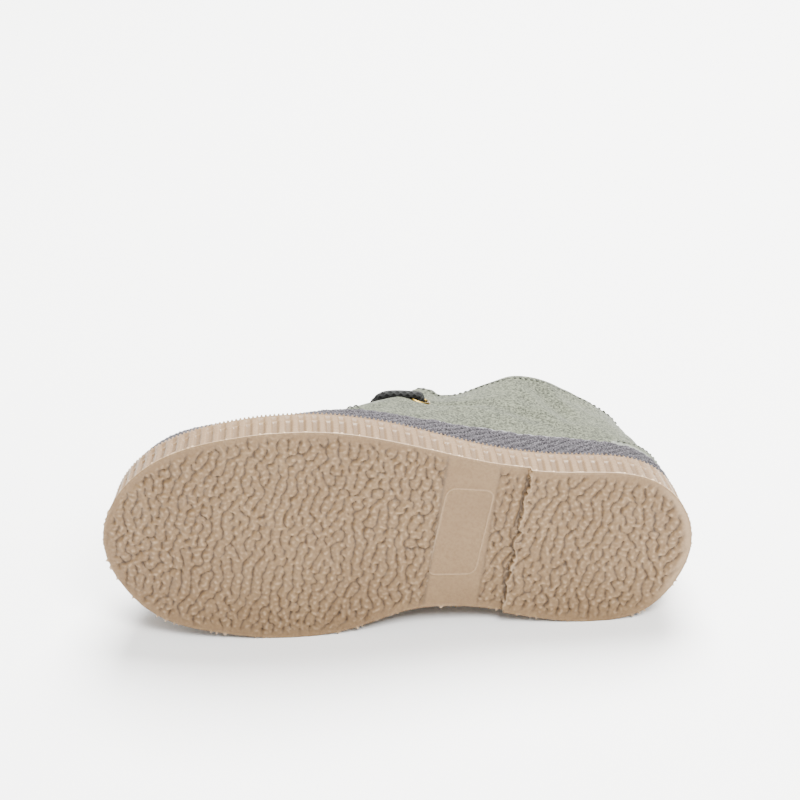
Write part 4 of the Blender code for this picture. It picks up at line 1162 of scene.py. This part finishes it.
# Lace
# A round braided cotton cord. It comes out of each top eyelet, arches along the quarter, goes in at the low
# eyelet and crosses inside the throat. Its ends stop in the top eyelets.
LACE_DIAMETER = 2.6
LACE_TURN = 1.3
LACE_ARCH = 1.6
LACE_SAG = 3.0
LACE_BAR_RISE = 2.2
LACE_LIFT = 0.4
LACE_INSIDE = 4.4
LACE_RINGS = 420
LACE_SIDES = 24
BRAID_PITCH = 4.6


def lace_turn(centre, way, towards):
    """Route of the lace as it leaves an eyelet along a way and bends over its flange towards a point."""
    heading = towards - centre
    heading = heading - way * heading.dot(way)
    heading /= np.linalg.norm(heading)
    return [
        centre,
        centre + way * 0.7 * LACE_TURN + heading * 0.3 * LACE_TURN,
        centre + way * LACE_TURN + heading * 1.7 * LACE_TURN,
    ]


def lace_half(side, middle):
    """Route from one side's top eyelet along the quarter and in at its low eyelet, to the middle."""
    top, top_way = eyelet_spots[side, "top"]
    low, low_way = eyelet_spots[side, "low"]
    run_below = 0.5 * sum(EYELET_FROM_EDGE.values()) + LACE_SAG
    run, run_way = quarter_spot(side, 0.5 * sum(EYELET_ALONG.values()), run_below)
    run = run + run_way * LACE_ARCH
    return [
        top - top_way * (WALL + QUARTER_STEP),
        top - top_way * 1.0,
        *lace_turn(top + top_way * LACE_LIFT, top_way, run),
        run,
        *lace_turn(low + low_way * LACE_LIFT, low_way, run)[::-1],
        low - low_way * 0.5 * LACE_INSIDE,
        *lace_turn(low - low_way * LACE_INSIDE, -low_way, middle),
    ]


bar_ends = [eyelet_spots[side, "low"][0] - eyelet_spots[side, "low"][1] * 3.0 * LACE_TURN for side in (1, -1)]
bar_middle = 0.5 * (bar_ends[0] + bar_ends[1]) + np.array((0.0, 0.0, LACE_BAR_RISE))
route = smooth_rows([*lace_half(1, bar_middle), bar_middle, *lace_half(-1, bar_middle)[::-1]], 4 * LACE_RINGS)
runs = np.append(0.0, np.cumsum(np.linalg.norm(np.diff(route, axis=0), axis=1)))
even = np.linspace(0.0, runs[-1], LACE_RINGS)
route = np.stack([np.interp(even, runs, route[:, k]) for k in range(3)], -1)
ahead = np.gradient(route, axis=0)
ahead /= np.linalg.norm(ahead, axis=1, keepdims=True)
angles = np.arange(LACE_SIDES) * 2.0 * math.pi / LACE_SIDES
lace_side = np.cross(ahead[0], (0.3, 0.2, 0.9))
# The strand mark carries the braid's painted highlight and painted shade
lace_points, lace_strand_highlight = [], []
for centre, way, along in zip(route, ahead, even):
    lace_side = lace_side - way * lace_side.dot(way)
    lace_side /= np.linalg.norm(lace_side)
    turn_phase = 2.0 * math.pi * along / BRAID_PITCH
    strand = np.maximum(np.cos(4.0 * (angles + turn_phase / 2.0)), np.cos(4.0 * (angles - turn_phase / 2.0)))
    radius = 0.5 * LACE_DIAMETER + 0.14 * (strand - 0.75)
    spokes = lace_side * np.cos(angles)[:, None] + np.cross(way, lace_side) * np.sin(angles)[:, None]
    lace_points.append(centre + spokes * radius[:, None])
    lace_strand_highlight.append(strand)
last_ring = (LACE_RINGS - 1) * LACE_SIDES
lace_faces = [tuple(range(LACE_SIDES))[::-1], tuple(range(last_ring, last_ring + LACE_SIDES))]
for ring in range(LACE_RINGS - 1):
    lace_faces += ring_faces(ring * LACE_SIDES, (ring + 1) * LACE_SIDES, LACE_SIDES)

# Braided cotton cord, dyed charcoal: dull, with a painted highlight along the tops of the strands and painted
# shade between them
charcoal_cord, tree, shader, where = new_finish("braided_cotton")
hair = noise(tree, where, 0.4, Detail=2.0)
# Painted highlight on the strands' tops and painted shade between them
strand_highlight_and_shade = blend(tree, stretch(tree, mark(tree, "strand"), 0.2, 1.0), "#040404", "#3b3c3b")
fill_inputs(tree, shader, {
    "Base Color": blend(tree, hair, strand_highlight_and_shade, "#1a1b1a"),
    "Roughness": 0.8,
    "Specular IOR Level": 0.2})
lace = add_piece("braided_lace", np.concatenate(lace_points), lace_faces, [charcoal_cord],
                 {"strand": np.concatenate(lace_strand_highlight)})
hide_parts("lace")
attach(lace, "root")

# Stitches
# Dark waxed thread: one row below the collar and down the facings, two along the quarters' front edges and
# one round the heel counter. Each stitch is a short raised dash that dips into the suede at both ends.
STITCH_PITCH = 1.95
STITCH_SIZE = (1.2, 0.55, 0.55)
STITCH_LIFT = 0.2
COLLAR_ROW = 2.6
COLLAR_ROW_STOP = 0.006
SEAM_ROWS = (1.8, 3.8)
SEAM_ROW_SPREAD = 1.25
COUNTER_ROW = 1.2
COUNTER_ROW_REACH = 0.93

thread, tree, shader, where = new_finish("waxed_thread")
ply = noise(tree, where, 0.3)
fill_inputs(tree, shader, {"Base Color": blend(tree, ply, "#22251d", "#484b41"), "Roughness": 0.6})


def row_below_edge(places, below):
    """The t at which each column is a distance below the collar or throat edge."""
    near = np.linspace(0.8, 1.0, 81)
    left = left_to_edge(upper_point(places[:, None], near))
    return np.array([np.interp(-below, -column, near) for column in left])


stitch_rows = []
top_seams = [float(seam_places(side, np.array((0.0, 1.0)))[1]) for side in (1, -1)]
collar_places = np.linspace(top_seams[1] + COLLAR_ROW_STOP - 1.0, top_seams[0] - COLLAR_ROW_STOP, 500)
stitch_rows.append((collar_places, row_below_edge(collar_places % 1.0, COLLAR_ROW)))
seam_rows = np.linspace(0.36, 0.965, 80)
for side in (1, -1):
    for behind in SEAM_ROWS:
        row_places = seam_places(side, seam_rows) - side * behind / outline_runs.sum() * SEAM_ROW_SPREAD
        stitch_rows.append((row_places, seam_rows))
sewn_rows = []
for row_places, row_t in stitch_rows:
    spots = upper_offset(row_places % 1.0, row_t, np.full(len(row_t), QUARTER_STEP + STITCH_LIFT))
    outs = upper_normal(row_places % 1.0, row_t)
    sewn_rows.append((spots - outs * crease_depth(spots)[:, None], outs))
counter_row = np.linspace(-COUNTER_ROW_REACH, COUNTER_ROW_REACH, 60)
row_places = counter_row * COUNTER_SPAN
row_t = upper_at_height(row_places % 1.0, rand_top(row_places) + counter_arc(counter_row) - COUNTER_ROW)
counter_skin = np.full(len(row_t), QUARTER_STEP + STITCH_LIFT + COUNTER_THICKNESS)
sewn_rows.append((upper_offset(row_places % 1.0, row_t, counter_skin), upper_normal(row_places % 1.0, row_t)))
stitches = dashes_along("upper_stitches", sewn_rows, False, STITCH_PITCH, STITCH_SIZE, thread)
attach(stitches, "root")

# Floor, light and camera
# A plain white table top, soft light from a large panel behind and above and a smaller one in front on the
# heel's side, and a camera that looks at the tread from above the outer side, at the photograph's angle.
CAMERA_SPOT = (93.04, 423.9, -796.8)
CAMERA_DROP = math.radians(25.0)
FOCAL_PIXELS = 2817.0
FRAME_PIXELS = 800.0

table_white = bpy.data.materials.new("white_laminate")
table_white.use_nodes = True
shader = table_white.node_tree.nodes["Principled BSDF"]
shader.inputs["Base Color"].default_value = linear_colour("#f7f7f5")
shader.inputs["Roughness"].default_value = 0.6
floor_mesh = bpy.data.meshes.new("table_top")
floor_mesh.from_pydata([(-4, -3, 0), (4, -3, 0), (4, 6, 0), (-4, 6, 0)], [], [(0, 1, 2, 3)])
floor_mesh.materials.append(table_white)
floor = bpy.data.objects.new("table_top", floor_mesh)
bpy.context.scene.collection.objects.link(floor)

world = bpy.data.worlds.new("white_room")
world.use_nodes = True
world.node_tree.nodes["Background"].inputs["Color"].default_value = (1.0, 1.0, 1.0, 1.0)
world.node_tree.nodes["Background"].inputs["Strength"].default_value = 0.9
bpy.context.scene.world = world


def add_panel_light(name, spot, target, size, watts):
    """A square light panel that faces a target point."""
    light = bpy.data.lights.new(name, "AREA")
    light.shape = "SQUARE"
    light.size = size
    light.energy = watts
    lamp = bpy.data.objects.new(name, light)
    bpy.context.scene.collection.objects.link(lamp)
    back = np.array(spot, float) - np.array(target, float)
    back /= np.linalg.norm(back)
    across = np.cross((0.0, 1.0, 0.0) if abs(back[2]) > 0.9 else (0.0, 0.0, 1.0), back)
    across /= np.linalg.norm(across)
    facing = Matrix(np.column_stack([across, np.cross(back, across), back]).tolist()).to_4x4()
    facing.translation = spot
    lamp.matrix_world = facing
    return lamp


add_panel_light("overhead_panel", (0.15, 0.6, 1.15), (0.0, 0.0, 0.03), 0.8, 104.0)
add_panel_light("front_panel", (0.45, -0.95, 1.2), (0.0, 0.0, 0.03), 0.6, 54.0)

right = np.array((-1.0, 0.0, 0.0)) @ boot_axes
up = np.array((0.0, math.cos(CAMERA_DROP), math.sin(CAMERA_DROP))) @ boot_axes
lens = bpy.data.cameras.new("photo_camera")
lens.sensor_width = 36.0
lens.lens = 36.0 * FOCAL_PIXELS / FRAME_PIXELS
lens.clip_start = 0.01
camera = bpy.data.objects.new("photo_camera", lens)
bpy.context.scene.collection.objects.link(camera)
stand = Matrix(np.column_stack([right, up, np.cross(right, up)]).tolist()).to_4x4()
stand.translation = np.array(CAMERA_SPOT) * 0.001 @ boot_axes + boot_origin
camera.matrix_world = stand
bpy.context.scene.camera = camera
